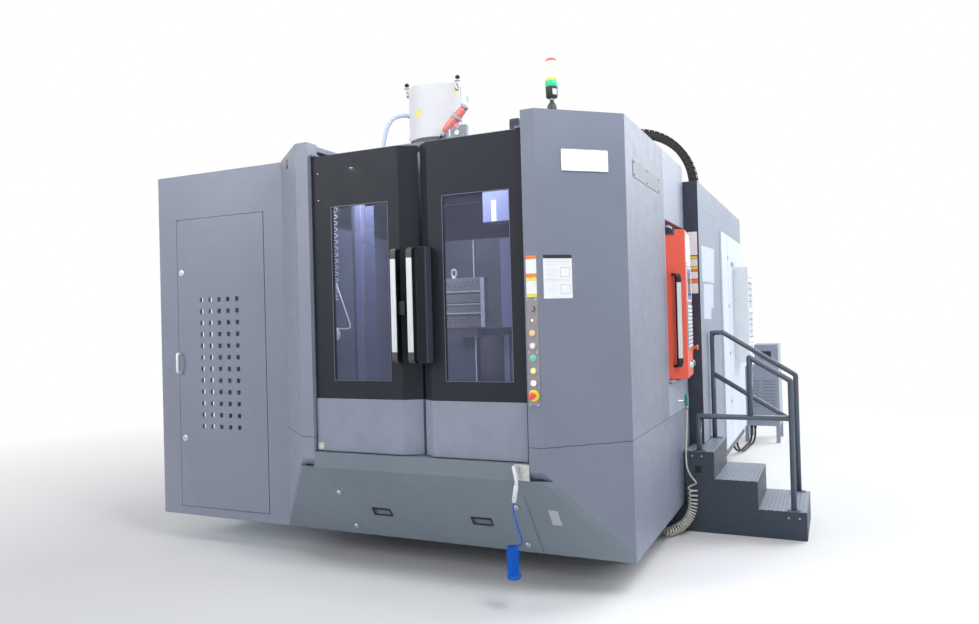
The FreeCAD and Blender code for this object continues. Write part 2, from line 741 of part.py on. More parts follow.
def make_pod():
    """The control pod: an angled door-like front, the screen side and its emergency stop."""
    outline = [POD_NEAR, POD_FRONT, POD_FAR, (POD_BACK_X, POD_FAR[1]), (POD_BACK_X, POD_NEAR[1])]
    shell = plan_piece("pod_case", outline, D.pod_low, D.pod_high, listed=False)
    for name, offset, reverse in (("top", D.pod_high, False), ("bottom", D.pod_low, True)):
        hole = disc(shell, "XY_Plane", f"pod_{name}_hole", D.pod_pivot_x, D.pod_pivot_y, 12.05, offset)
        pocket(shell, hole, 24, reverse=reverse)
    face_angle = math.degrees(math.atan2(POD_FRONT[1] - POD_NEAR[1], POD_FRONT[0] - POD_NEAR[0]))
    middle = [(a + b) / 2 for a, b in zip(POD_NEAR, POD_FRONT)]
    finish(grip_body("pod_grip", middle[0], middle[1], 1209, 1855, D.grip_standoff, D.grip_width, 14, 30,
                     turn=face_angle, round_off=24), "pod_handle")
    outward = Vector(POD_FAR[1] - POD_FRONT[1], POD_FRONT[0] - POD_FAR[0], 0).normalize()
    share = 0.82
    stop_x = POD_FRONT[0] + (POD_FAR[0] - POD_FRONT[0]) * share
    stop_y = POD_FRONT[1] + (POD_FAR[1] - POD_FRONT[1]) * share

    def stop_rod(name, depth, radius, length):
        """A round bar square to the screen side, starting at a depth from its face."""
        return rod(name, stop_x + outward.x * depth, stop_y + outward.y * depth, 1325, radius, length, outward)

    bezelled = fuse("pod_with_bezel", [shell, stop_rod("pod_stop_bezel", -2, 26, 8)])
    cut("pod_with_hole", bezelled, [stop_rod("pod_stop_hole", -12, 11.05, 20)], "pod_shell")
    fuse("pod_stop_parts", [
        stop_rod("pod_stop_stem", -5, 11, 33),
        stop_rod("pod_stop_head", 28, 20, 18),
    ], "pod_emergency_stop")


# ---------------------------------------------------------------- rear housing

def make_rear():
    wall = 25
    shell = box("rear_block", D.rear_left_x, D.rear_side_x, D.rear_front_y, D.rear_back_y, D.plinth_high,
                D.rear_top)
    space = box("rear_space", D.rear_left_x + wall, D.rear_side_x - wall, D.rear_front_y + wall,
                D.rear_back_y - wall, D.plinth_high - 10, D.rear_top - wall)
    doorway = box("rear_doorway", -560, 560, D.rear_front_y - 10, D.rear_front_y + 60, D.plinth_high - 10, 2300)
    cabinet_hole = box("cabinet_hole", 1000, D.rear_side_x + 10, 2934, 4575, 345, 2313)
    cut("rear_shell", shell, [space, doorway, cabinet_hole], "rear_housing")
    finish(box("cabinet_block", 1000, D.rear_side_x + 16, 2934, 4575, 345, 2313), "electrical_cabinet")

    outer_x = D.rear_side_x + 151
    exchanger = new_body("heat_exchanger")
    plan = rectangle(D.rear_side_x + 16, outer_x, 3767, 4200)
    pad(exchanger, profile(exchanger, "XY_Plane", "exchanger_plan", plan, 1075), 953)
    slot = rectangle(3800, 4167, 1140, 1152)
    slot_sketch = profile(exchanger, "YZ_Plane", "louvre_slot", slot, outer_x)
    first = pocket(exchanger, slot_sketch, 15)
    doc.recompute()
    louvres = exchanger.newObject("PartDesign::LinearPattern", "louvres")
    louvres.Originals = [first]
    louvres.Direction = (slot_sketch, ["V_Axis"])
    louvres.Length = 780
    louvres.Occurrences = 14
    exchanger.Tip = louvres


# ---------------------------------------------------------------- steps and rails

def round_path(points, factor=0.45, radii=None):
    """Straight runs joined by tangent arcs through the given points."""
    points = [Vector(*p) for p in points]
    edges = []
    start = points[0]
    for before, corner, after in zip(points, points[1:], points[2:]):
        one = (before - corner).normalize()
        two = (after - corner).normalize()
        half_turn = (math.pi - one.getAngle(two)) / 2
        reach = factor * min((before - corner).Length, (after - corner).Length)
        radius = reach / math.tan(half_turn)
        if radii is not None:
            radii.append(radius)
        first = corner + one * reach
        last = corner + two * reach
        middle_dir = (one + two).normalize()
        centre = corner + middle_dir * (radius / math.cos(half_turn))
        middle = centre - middle_dir * radius
        edges.append(Part.LineSegment(start, first).toShape())
        edges.append(Part.Arc(first, middle, last).toShape())
        start = last
    edges.append(Part.LineSegment(start, points[-1]).toShape())
    return Part.Wire(edges)


def tube(points, radius, factor=0.45, radii=None):
    """A round tube swept along a rounded path; Y is measured from the foot line."""
    points = [Vector(*p) for p in points]
    path = round_path(points, factor, radii)
    ring = Part.Wire(Part.Circle(points[0], points[1] - points[0], radius).toShape())
    solid = path.makePipeShell([ring], True, False)
    expected = math.pi * radius ** 2 * path.Length
    if abs(solid.Volume - expected) > 0.02 * expected:
        raise ValueError(f"tube volume {solid.Volume:.0f} differs from {expected:.0f}")
    return solid


def feature(label, shapes):
    """A sub-part built from swept shapes, set at the row's origin."""
    part = doc.addObject("Part::Feature", label)
    part.Shape = shapes[0] if len(shapes) == 1 else Part.makeCompound(shapes)
    put(part, 0, 0, 0)
    return finish(part, label)


def make_steps():
    near, far, rise = D.step_near_y, D.step_far_y, D.riser
    left, foot_left, wall = size(1192), size(1096), 6
    body = new_body("stair_body")

    def side_profile(inset):
        top = rise * 3 - inset
        return [
            (foot_left + inset, -inset / 6),
            (D.tread_one_x - inset, -inset / 6),
            (D.tread_one_x - inset, rise - inset),
            (D.tread_two_x - inset, rise - inset),
            (D.tread_two_x - inset, rise * 2 - inset),
            (D.platform_x - inset, rise * 2 - inset),
            (D.platform_x - inset, top),
            (left + inset, top),
            (left + inset, rise - inset),
            (foot_left + inset, rise - inset),
        ]

    pad(body, profile(body, "XZ_Plane", "step_profile", side_profile(0), -near), far - near, reverse=True)
    inside = profile(body, "XZ_Plane", "step_inside", side_profile(wall), -(near + wall))
    pocket(body, inside, far - near - 2 * wall)
    notch = rectangle(1000, D.rear_side_x + 6, D.rear_front_y - 3, far + 10)
    pocket(body, profile(body, "XY_Plane", "step_notch", notch))

    radius = D.rail_tube.value / 2
    near_y = near.value + 30
    far_y = far.value - 31
    rise_mm = rise.value
    platform_top = 3 * rise_mm
    rails = [
        tube([(1921, near_y, rise_mm), (1921, near_y, 1094), (1654, near_y, 1257), (1654, near_y, 832)],
             radius, 0.2),
        tube([(1905, near_y, 832), (1294, near_y, 832), (1294, near_y, platform_top)], radius, 0.2),
        tube([(1927, far_y, rise_mm), (1927, far_y, 1086), (1400, far_y, 1419), (1316, far_y, 1419),
              (1316, far_y, platform_top)], radius, 0.3),
        tube([(1322, far_y, 1090), (1915, far_y, 720)], radius),
    ]
    plates = []
    for x, y, z in ((1921, near_y, rise_mm), (1294, near_y, platform_top), (1927, far_y, rise_mm)):
        plates.append(Part.makeBox(90, 56, 8, Vector(x - 45, y - 28, z)))
    plates.append(Part.makeBox(70, 56, 8, Vector(1296, far_y - 28, platform_top)))
    rail_set = rails[0]
    for piece in rails[1:] + plates:
        rail_set = rail_set.fuse(piece)
    feature("handrails", [rail_set])


# ---------------------------------------------------------------- things on the roof

def make_roof_items():
    roof = D.guard_top
    x, y = -573, 1131
    drum_low = 2965
    fuse("mist_blocks", [
        rod("mist_base", x, y, roof, 285, 2940 - roof),
        rod("mist_flange", x, y, 2940, 300, drum_low - 2940),
        rod("mist_drum", x, y, drum_low, 267, 3441 - drum_low),
        box("mist_clip_left", x - 292, x - 255, y - 40, y - 10, 3330, 3430),
        box("mist_clip_front", x + 110, x + 140, y - 262, y - 225, 3330, 3430),
    ], "mist_collector")

    plug_y = 780
    along = Vector(161, 0, 154).normalize()
    across = Vector(-154, 0, 161).normalize()

    def plug_rod(name, start, side, radius, length, axis):
        """A round piece of the plug, from a distance along it and a distance out of its axis."""
        return rod(name, -346 + along.x * start + across.x * side, plug_y,
                   2950 + along.z * start + across.z * side, radius, length, axis)

    fuse("connector_parts", [
        box("connector_box", -330, -160, 760, 800, roof, 2985),
        plug_rod("plug_body", 0, 0, 36, 223, along),
        plug_rod("plug_ring_low", 52, 0, 43, 16, along),
        plug_rod("plug_ring_high", 150, 0, 43, 16, along),
        plug_rod("plug_nut", 223, 0, 26, 34, along),
        plug_rod("plug_spout", 108, 30, 18, 52, across),
        plug_rod("plug_cap", 108, 82, 24, 16, across),
    ], "power_connector")

    light_x, light_y = 802, -130
    fuse("stack_blocks", [
        rod("stack_foot", light_x, light_y, roof, 24, 62),
        rod("stack_neck", light_x, light_y, roof + 62, 12, 30),
        rod("stack_body", light_x, light_y, roof + 92, 32, 64),
        rod("stack_lenses", light_x, light_y, roof + 156, 36, 182),
    ], "stack_light")

    arch_x, arch_z = 760, D.rear_top
    outer = rod("carrier_outer", arch_x, 1960, arch_z, 500, 100, "Y")
    inner = rod("carrier_inner", arch_x, 1950, arch_z, 432, 120, "Y")
    below = box("carrier_below", arch_x - 510, arch_x + 510, 1950, 2070, arch_z - 520, arch_z)
    cut("carrier_arch", outer, [inner, below], "cable_carrier")


# ---------------------------------------------------------------- transformer and cables

def make_transformer():
    x0, x1, y0, y1 = 1179, 1579, 5560, 6133
    legs = [box(f"transformer_leg_{i}", x, x + 45, y, y + 45, 0, 200)
            for i, (x, y) in enumerate(((x0, y0), (x1 - 45, y0), (x0, y1 - 45), (x1 - 45, y1 - 45)))]
    fuse("transformer_blocks", legs + [
        box("transformer_lower", x0, x1, y0, y1, 200, 910),
        box("transformer_upper", x0 + 130, x1, y0, y1 - 120, 910, 1180),
    ], "transformer_cabinet")
    radii = []
    cables = [
        tube([(x, 5640, 200), (x, 5630, 120), (x - 2, 5570, 48), (x - 8, 5450, 12.5), (x - 28, 5230, 12.5),
              (x - 38, 4980, 12.5), (x - 60, 4760, 20), (x - 84, 4620, 70), (x - 96, 4560, 150),
              (x - 100, 4545, 258)], 12, radii=radii)
        for x in (1250, 1290)
    ]
    feature("supply_cables", cables)
    print("supply cable radii", [round(r) for r in radii])


# ---------------------------------------------------------------- hoses and guns

def arc_through(start, corner, end):
    """The arc that leaves its start towards a corner and reaches its end from that corner."""
    one = (start - corner).normalize()
    two = (end - corner).normalize()
    half = one.getAngle(two) / 2
    reach = (start - corner).Length
    depth = reach / math.cos(half) - reach * math.tan(half)
    return Part.Arc(start, corner + (one + two).normalize() * depth, end).toShape()


def biarc(start, start_way, end, end_way):
    """Two tangent arcs between two points with given headings."""
    chord = end - start
    spread = 1 - start_way.dot(end_way)
    along = chord.dot(start_way + end_way)
    reach = (math.sqrt(along ** 2 + 2 * spread * chord.dot(chord)) - along) / (2 * spread)
    first = start + start_way * reach
    last = end - end_way * reach
    joint = (first + last) / 2
    return [arc_through(start, first, joint), arc_through(joint, last, end)]


class Winding:
    """A coil around a smooth four-point line; side is square to that line, crowd below 1 closes later loops."""

    def __init__(self, line, side, radius, turns, crowd=1):
        self.line = [Vector(*p) for p in line]
        self.side = side
        self.radius = radius
        self.turns = turns
        self.crowd = crowd

    def middle(self, turn):
        t = (max(turn, 0) / self.turns) ** self.crowd
        shares = ((1 - t) ** 3, 3 * t * (1 - t) ** 2, 3 * t ** 2 * (1 - t), t ** 3)
        total = Vector()
        for point, share in zip(self.line, shares):
            total += point * share
        return total

    def place(self, turn):
        ahead = (self.middle(turn + 0.02) - self.middle(turn - 0.02)).normalize()
        across = self.side.cross(ahead).normalize()
        angle = 2 * math.pi * turn
        out = across * math.cos(angle) + across.cross(ahead) * math.sin(angle)
        return self.middle(turn) + out * self.radius

    def heading(self, turn):
        return (self.place(turn + 0.001) - self.place(turn - 0.001)).normalize()

    def stations(self):
        halves = [0.5 * i for i in range(1, int(2 * self.turns) + 1)]
        return halves if halves[-1] == self.turns else halves + [self.turns]


def least_gap(path, diameter):
    """The smallest clear space between two loops of one tube, measured on points along it."""
    points = path.discretize(Distance=diameter / 4)
    skip = 10
    nearest = min(points[i].distanceToPoint(points[j])
                  for i in range(len(points)) for j in range(i + skip, len(points)))
    return nearest - diameter


def wound_tube(name, winding, start, start_way, wire):
    """One unbroken tube: a straight lead, the loops as arcs of a quarter turn, and a straight end."""
    here, way = start + start_way * (2 * wire), start_way
    edges = [Part.LineSegment(start, here).toShape()]
    for turn in winding.stations():
        there, next_way = winding.place(turn), winding.heading(turn)
        edges += biarc(here, way, there, next_way)
        here, way = there, next_way
    end = here + way * (2 * wire)
    edges.append(Part.LineSegment(here, end).toShape())
    path = Part.Wire(edges)
    ring = Part.Wire(Part.Circle(start, start_way, wire).toShape())
    solid = path.makePipeShell([ring], True, False)
    gap = least_gap(path, 2 * wire)
    print(f"{name}: {winding.turns:g} loops, {path.Length:.0f} mm of tube, least gap to itself {gap:.2f} mm")
    if gap < 0.4:
        raise ValueError(f"{name} touches itself")
    return solid, end, way


def make_hoses():
    front_x, front_y = 611, -391
    plate_face = -D.porch_depth.value
    gun = tube([(627, front_y, 788), (645, front_y, 690), (625, front_y, 592)], 12, 0.4)
    plate = Part.makeBox(87, 4, 87, Vector(618, plate_face - 4, 701))
    hook = Part.makeBox(24, 26, 14, Vector(624, plate_face - 30, 762))
    feature("front_air_gun", [gun.fuse(plate).fuse(hook)])
    radii = []
    line = [(front_x, front_y, z) for z in (352, 296, 238, 183)]
    front_coil = Winding(line, Vector(1, 0, 0), 29, 17.75)
    start, way = front_coil.place(0), front_coil.heading(0.002)
    coil, end, end_way = wound_tube("front hose", front_coil, start, way, 4)
    before = start - way * 29
    gun_side = tube([(625, front_y, 592), (617, front_y, 545), (636, front_y, 486), (650, -388, 430),
                     (661, -368, 378), tuple(before), tuple(start)], 4, radii=radii)
    wall_side = tube([tuple(end), tuple(end + end_way * 38), (596, -275, 174), (556, -195, 168),
                      (520, -110, 165), (486, -25, 162), (462, 38, 168), (445, 78, 188), (445, 78, 225)], 4,
                     radii=radii)
    feature("front_hose", [gun_side, wall_side])
    feature("front_hose_coil", [coil])

    side_x, side_y = 1242, 1330
    peg = Part.makeCylinder(8, side_x - 1183, Vector(1183, side_y, 955), Vector(1, 0, 0))
    side_gun = Part.makeCylinder(15, 110, Vector(side_x, side_y, 900))
    feature("side_air_gun", [side_gun.fuse(peg)])
    start, before = Vector(1250, 1395, 372), Vector(1232, 1352, 430)
    side_line = [(1250, 1397, 350), (1274, 1408, 150), (1222, 1404, 44), (1080, 1220, 41)]
    side_coil = Winding(side_line, Vector(1, -1, 0).normalize(), 29, 20, crowd=0.85)
    coil, end, end_way = wound_tube("side hose", side_coil, start, (start - before).normalize(), 6)
    turned = end + end_way * 36
    gun_side = tube([(side_x, side_y, 900), (1236, 1330, 700), (1222, 1334, 520), tuple(before),
                     tuple(start)], 6, radii=radii)
    wall_side = tube([tuple(end), tuple(turned), (1000, turned.y, turned.z)], 6, radii=radii)
    feature("side_hose", [gun_side, wall_side])
    feature("side_hose_coil", [coil])
    wash = Part.makeCylinder(17, 733, Vector(-609, -262, 1560))
    wash_gun = Part.makeCylinder(24, 70, Vector(-609, -262, 1490))
    feature("wash_hose", [wash.fuse(wash_gun)])
    drain = tube([(-806, 1008, 3149), (-850, 960, 3149), (-900, 900, 3100), (-925, 870, 2990),
                  (-932, 861, 2850), (-930, 860, 2693)], 15, radii=radii)
    feature("mist_hose", [drain])
    print("hose radii", [round(r) for r in radii])


# ---------------------------------------------------------------- machine inside

def make_machine():
    axis_y = D.changer_axis_y
    half = D.pallet_size / 2
    reach = axis_y - D.pallet_axis_y
    arm_low, arm_high = D.pallet_low + 5, D.pallet_high - 10
    bars = [box(f"fork_{i}", x0, x1, axis_y - reach - half, axis_y + reach + half, arm_low, arm_high)
            for i, (x0, x1) in enumerate(((-half - 35, -half), (half, half + 35)))]
    fuse("changer_blocks", bars + [
        rod("changer_hub", 0, axis_y, D.plinth_high, 95, arm_low - D.plinth_high),
        box("changer_bridge", -half - 35, half + 35, axis_y - 100, axis_y + 100, arm_low, arm_high),
        box("changer_screen", -735, 735, axis_y - 8, axis_y + 8, arm_high, 2150),
    ], "pallet_changer")
    group("pallet_pair", [
        box(f"pallet_{i}", -half, half, y - half, y + half, D.pallet_low, D.pallet_high)
        for i, y in enumerate((axis_y - reach, axis_y + reach))
    ], "pallets")
    plate_y = 87
    slots = [box(f"t_slot_{i}", -262, 262, plate_y - 1, plate_y + 14, z, z + 22)
             for i, z in enumerate((1590, 1660, 1730))]
    fixture = cut("fixture_slots", box("fixture_block", -261, 261, plate_y, plate_y + 53, D.pallet_high, 1834),
                  slots)
    foot = box("fixture_foot", -180, 180, plate_y + 53, 420, D.pallet_high, D.pallet_high + 40)
    fuse("fixture_parts", [fixture, foot], "fixture_plate")

    table_y = axis_y + reach
    finish(rod("table_disc", 0, table_y, 1320, 140, D.pallet_low - 10 - 1320), "rotary_table")
    fuse("saddle_blocks", [
        box("saddle_slide", -340, 340, table_y - 220, table_y + 220, 760, 880),
        box("saddle_body", -190, 190, table_y - 190, table_y + 190, 880, 1320),
    ], "table_saddle")

    column = box("column_block", -300, 300, 2950, 3500, 625, 2480)
    window = box("column_window", -190, 190, 2940, 3510, 1380, 2400)
    cut("column_portal", column, [window], "column")
    head_z = 1850
    head = box("head_block", -189.95, 189.95, 2720, 3420, head_z - 170, head_z + 170)
    cut("head_with_bore", head, [rod("spindle_bore", 0, 2710, head_z, 62.05, 80, "Y")], "spindle_head")
    fuse("spindle_parts", [
        rod("spindle_nose", 0, 2560, head_z, 62, 230, "Y"),
        rod("spindle_taper", 0, 2535, head_z, 45, 25, "Y"),
    ], "spindle")
    pots = []
    for i in range(16):
        angle = math.radians(22.5 * i)
        pots.append(rod(f"tool_pot_{i}", -985, 3300 + 300 * math.cos(angle), 1700 + 300 * math.sin(angle), 34,
                        70, "X"))
    fuse("magazine_parts", [
        rod("magazine_disc", -1040, 3300, 1700, 350, 55, "X"),
        rod("magazine_hub", -1105, 3300, 1700, 60, 65, "X"),
    ] + pots, "tool_magazine")


# ---------------------------------------------------------------- build, check and write

for step in (make_base, make_front_guards, make_side_and_roof, make_station_inside, make_service_bay,
             make_doors, make_controls, make_pod, make_rear, make_steps, make_roof_items, make_transformer,
             make_hoses, make_machine):
    step()
doc.recompute()

for obj in doc.Objects:
    if "Invalid" in obj.State or "Error" in obj.State:
        raise RuntimeError(f"{obj.Name} failed: {obj.State}")
os.makedirs("parts", exist_ok=True)
for part in sub_parts:
    if part.Shape.isNull() or not part.Shape.isValid():
        raise RuntimeError(f"{part.Label} has no valid shape")
for part in sub_parts:
    part.Shape.exportStep(f"parts/{part.Label}.step")
print(len(sub_parts), "nodes written")
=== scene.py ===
import math

import bmesh
import bpy
from mathutils import Matrix, Vector


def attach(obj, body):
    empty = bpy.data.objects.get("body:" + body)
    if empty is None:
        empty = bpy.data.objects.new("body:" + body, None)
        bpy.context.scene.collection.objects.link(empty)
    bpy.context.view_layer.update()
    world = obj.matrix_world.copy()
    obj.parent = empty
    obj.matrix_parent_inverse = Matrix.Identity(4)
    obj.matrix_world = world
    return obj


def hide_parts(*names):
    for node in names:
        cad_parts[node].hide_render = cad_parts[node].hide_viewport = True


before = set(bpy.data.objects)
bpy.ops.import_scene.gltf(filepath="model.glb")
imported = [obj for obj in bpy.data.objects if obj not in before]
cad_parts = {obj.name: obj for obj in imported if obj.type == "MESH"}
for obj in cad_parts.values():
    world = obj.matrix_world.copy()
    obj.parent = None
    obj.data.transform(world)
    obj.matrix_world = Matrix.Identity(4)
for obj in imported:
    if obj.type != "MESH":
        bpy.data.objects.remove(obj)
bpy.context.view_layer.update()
scene = bpy.context.scene

# Lengths below are millimetres from the foot line of the front guard and the middle of the door opening.
WORLD = Matrix.Translation((0, -0.785, 0)) @ Matrix.Scale(0.001, 4)
BASE = "machine_base"
UP, FRONT, LEFT, RIGHT = (0, 0, 1), (0, -1, 0), (-1, 0, 0), (1, 0, 0)
OUT = (0, 1, 0)  # square to a face, and to the rear in the frame itself


def at(x, y, z):
    """A place of the shared frame in metres, from lengths in millimetres."""
    return WORLD @ Vector((x, y, z))


def polar(radius, degrees, middle=(0, 0)):
    """A point on a circle in a plane."""
    angle = math.radians(degrees)
    return middle[0] + radius * math.cos(angle), middle[1] + radius * math.sin(angle)


def face_frame(origin, along):
    """Axes of an upright face: x runs along it, y out of it and z up."""
    u = Vector((along[0], along[1], 0)).normalized()
    n = Vector((u.y, -u.x, 0))
    axes = Matrix((u, n, Vector(UP))).transposed().to_4x4()
    return WORLD @ Matrix.Translation(Vector(origin)) @ axes


# ---- camera, solved from the straight edges in the photograph

YAW, PITCH, ROLL = math.radians(24.541), math.radians(0.5756), math.radians(1.5241)
CAMERA_PLACE = (2.216, -4.910, 1.571)
ahead = Vector((-math.sin(YAW) * math.cos(PITCH), math.cos(YAW) * math.cos(PITCH), math.sin(PITCH)))
level = Vector((math.cos(YAW), math.sin(YAW), 0))
down = ahead.cross(level)
right = level * math.cos(ROLL) + down * math.sin(ROLL)
below = down * math.cos(ROLL) - level * math.sin(ROLL)
camera_data = bpy.data.cameras.new("view")
camera_data.sensor_width = 36
camera_data.lens = 27.822
camera_data.clip_end = 200
camera = bpy.data.objects.new("view", camera_data)
turn = Matrix((right, -below, -ahead)).transposed().to_4x4()
camera.matrix_world = Matrix.Translation(CAMERA_PLACE) @ turn
scene.collection.objects.link(camera)
scene.camera = camera


# ---- shader nodes

def feed(tree, node, inputs):
    """Link a node's inputs to sockets, or set their values."""
    for key, value in inputs.items():
        if isinstance(value, bpy.types.NodeSocket):
            tree.links.new(value, node.inputs[key])
        else:
            node.inputs[key].default_value = value


def add_node(tree, kind, inputs=None, **settings):
    """A shader node with its settings and inputs."""
    made = tree.nodes.new("ShaderNode" + kind)
    for key, value in settings.items():
        setattr(made, key, value)
    feed(tree, made, inputs or {})
    return made


def new_material(name="finish"):
    material = bpy.data.materials.new(name)
    material.use_nodes = True
    tree = material.node_tree
    return material, tree, tree.nodes["Principled BSDF"]


def noise(tree, scale, detail=3.0, stretch=None):
    """A noise texture in object space, optionally stretched."""
    where = add_node(tree, "TexCoord").outputs["Object"]
    if stretch is not None:
        where = add_node(tree, "Mapping", {"Vector": where, "Scale": stretch}).outputs["Vector"]
    return add_node(tree, "TexNoise", {"Vector": where, "Scale": scale, "Detail": detail}).outputs["Fac"]


def remap(tree, value, low, high, start=0.3, end=0.7):
    """Stretch a value to a range."""
    inputs = {"Value": value, "From Min": start, "From Max": end, "To Min": low, "To Max": high}
    return add_node(tree, "MapRange", inputs).outputs["Result"]


def mix(tree, factor, a, b):
    """Blend two colours; each is a colour or a socket."""
    a, b = (value if isinstance(value, bpy.types.NodeSocket) else (*value, 1) for value in (a, b))
    return add_node(tree, "Mix", {0: factor, 6: a, 7: b}, data_type="RGBA").outputs[2]


def shade(colour, amount):
    return tuple(min(1.0, c * amount) for c in colour)


def tones(tree, factor, colour, less, more):
    """Blend a darker and a lighter tone of one colour."""
    return mix(tree, factor, shade(colour, less), shade(colour, more))


def one_axis(tree, coordinates, axis):
    """One axis of the texture coordinates."""
    where = add_node(tree, "TexCoord").outputs[coordinates]
    return add_node(tree, "SeparateXYZ", {0: where}).outputs[axis]


def soft_edge(tree, radius):
    """A rounded normal for sharp folded edges, and a mask that is 1 on those edges."""
    soft = add_node(tree, "Bevel", {"Radius": radius}, samples=4).outputs["Normal"]
    sharp = add_node(tree, "NewGeometry").outputs["Normal"]
    alike = add_node(tree, "VectorMath", {0: soft, 1: sharp}, operation="DOT_PRODUCT").outputs["Value"]
    return soft, remap(tree, alike, 1.0, 0.0, 0.86, 0.995)


def bump(tree, height, strength, distance, normal=None):
    inputs = {"Height": height, "Strength": strength, "Distance": distance}
    if normal is not None:
        inputs["Normal"] = normal
    return add_node(tree, "Bump", inputs).outputs["Normal"]


# ---- materials

# Pale edge colour: partly rubbed wear, partly a painted highlight on folded edges.
RUBBED_EDGE_AND_HIGHLIGHT = (0.85, 0.88, 0.92)


def paint(colour, rough=0.42, grain=420, bumpy=0.12, variation=0.05, edge=0.0025, split=None, wear_and_highlight=0.16,
          gloss=0.5, front=None, uneven=0.09):
    """Sheet metal with a powder coat: cloudy tone, orange-peel bump, and pale edges that are partly rubbed
    wear and partly painted highlight.

    split gives a second tone below a height, and front one for the faces toward -y.
    """
    material, tree, shader = new_material()
    cloud = remap(tree, noise(tree, 1.7, 4), 0, 1)
    base = tones(tree, cloud, colour, 1 - variation, 1 + variation)
    if split is not None:
        low_colour, height = split
        above = remap(tree, one_axis(tree, "Object", "Z"), 0, 1, height - 0.0005, height + 0.0005)
        base = mix(tree, above, tones(tree, cloud, low_colour, 1 - variation, 1 + variation), base)
    if front is not None:
        base = mix(tree, remap(tree, one_axis(tree, "Normal", "Y"), 1, 0, -0.95, -0.8), base, front)
    smudge = remap(tree, noise(tree, 9, 6), 0, 1, 0.45, 0.75)
    base = mix(tree, remap(tree, smudge, 0, 0.10, 0, 1), base, shade(colour, 0.72))
    # The edge mask lightens folded edges: partly rubbed wear, partly painted highlight.
    normal, edges = soft_edge(tree, edge)
    feed(tree, shader, {
        "Base Color": mix(tree, remap(tree, edges, 0, wear_and_highlight, 0, 1), base, RUBBED_EDGE_AND_HIGHLIGHT),
        "Roughness": remap(tree, noise(tree, 14, 5), rough - uneven * 0.6, rough + uneven),
        "Normal": bump(tree, noise(tree, grain, 2), bumpy, 0.0006, normal),
        "Specular IOR Level": gloss,
    })
    return material


def brushed(colour, stretch=(900, 900, 14), rough=0.32, metal=1.0):
    """Metal with fine lines along one axis."""
    material, tree, shader = new_material()
    lines = noise(tree, 1.0, 3, stretch)
    feed(tree, shader, {
        "Base Color": tones(tree, remap(tree, lines, 0, 1), colour, 0.82, 1.12),
        "Roughness": remap(tree, lines, rough - 0.1, rough + 0.14),
        "Normal": bump(tree, lines, 0.10, 0.0004, soft_edge(tree, 0.0012)[0]),
        "Metallic": metal,
    })
    return material


def plastic(colour, rough=0.35, grain=700, bumpy=0.08, coat=0.0, variation=0.06, gloss=0.5):
    """Moulded plastic, rubber or paper: slight tone changes and a fine grain."""
    material, tree, shader = new_material()
    cloud = remap(tree, noise(tree, 22, 4), 0, 1)
    feed(tree, shader, {
        "Base Color": tones(tree, cloud, colour, 1 - variation, 1 + variation),
        "Roughness": remap(tree, noise(tree, 60, 4), rough - 0.05, rough + 0.08),
        "Normal": bump(tree, noise(tree, grain, 2), bumpy, 0.0003, soft_edge(tree, 0.001)[0]),
        "Coat Weight": coat,
        "Coat Roughness": 0.12,
        "Specular IOR Level": gloss,
    })
    return material


def glass(colour, alpha):
    """Tinted sheet: partly see-through, with a faint smear in its tone."""
    material, tree, shader = new_material()
    smear = noise(tree, 5, 5, (1, 1, 3))
    feed(tree, shader, {
        "Base Color": tones(tree, remap(tree, smear, 0, 1), colour, 0.85, 1.15),
        "Roughness": remap(tree, smear, 0.03, 0.12),
        "Alpha": alpha,
    })
    return material


def lit(colour, strength, rough=0.3, spread=0.1):
    """A lens or display that glows softly and a little unevenly; also a painted glow on parts that are no
    lamps.
    """
    material, tree, shader = new_material()
    glow = tones(tree, remap(tree, noise(tree, 45, 3), 0, 1), colour, 1 - spread, 1 + spread)
    feed(tree, shader, {
        "Base Color": glow,
        "Emission Color": glow,
        "Emission Strength": strength,
        "Roughness": remap(tree, noise(tree, 30, 3), rough - 0.05, rough + 0.08),
    })
    return material


def tread(colour):
    """Checker plate: raised bars in two directions, rubbed bright on top."""
    material, tree, shader = new_material()
    where = add_node(tree, "TexCoord").outputs["Object"]
    heights = []
    for angle in (45, -45):
        turned = {"Vector": where, "Rotation": (0, 0, math.radians(angle)), "Scale": (26, 60, 26)}
        turned = add_node(tree, "Mapping", turned).outputs["Vector"]
        cells = add_node(tree, "TexVoronoi", {"Vector": turned, "Randomness": 0.0, "Scale": 1.0})
        heights.append(remap(tree, cells.outputs["Distance"], 1, 0, 0.25, 0.34))
    top = add_node(tree, "Math", {0: heights[0], 1: heights[1]}, operation="MAXIMUM").outputs[0]
    feed(tree, shader, {
        "Base Color": tones(tree, remap(tree, top, 0, 1, 0, 1), colour, 0.75, 1.5),
        "Roughness": remap(tree, noise(tree, 25, 4), 0.35, 0.5),
        "Normal": bump(tree, top, 0.6, 0.002),
        "Metallic": 0.35,
    })
    return material


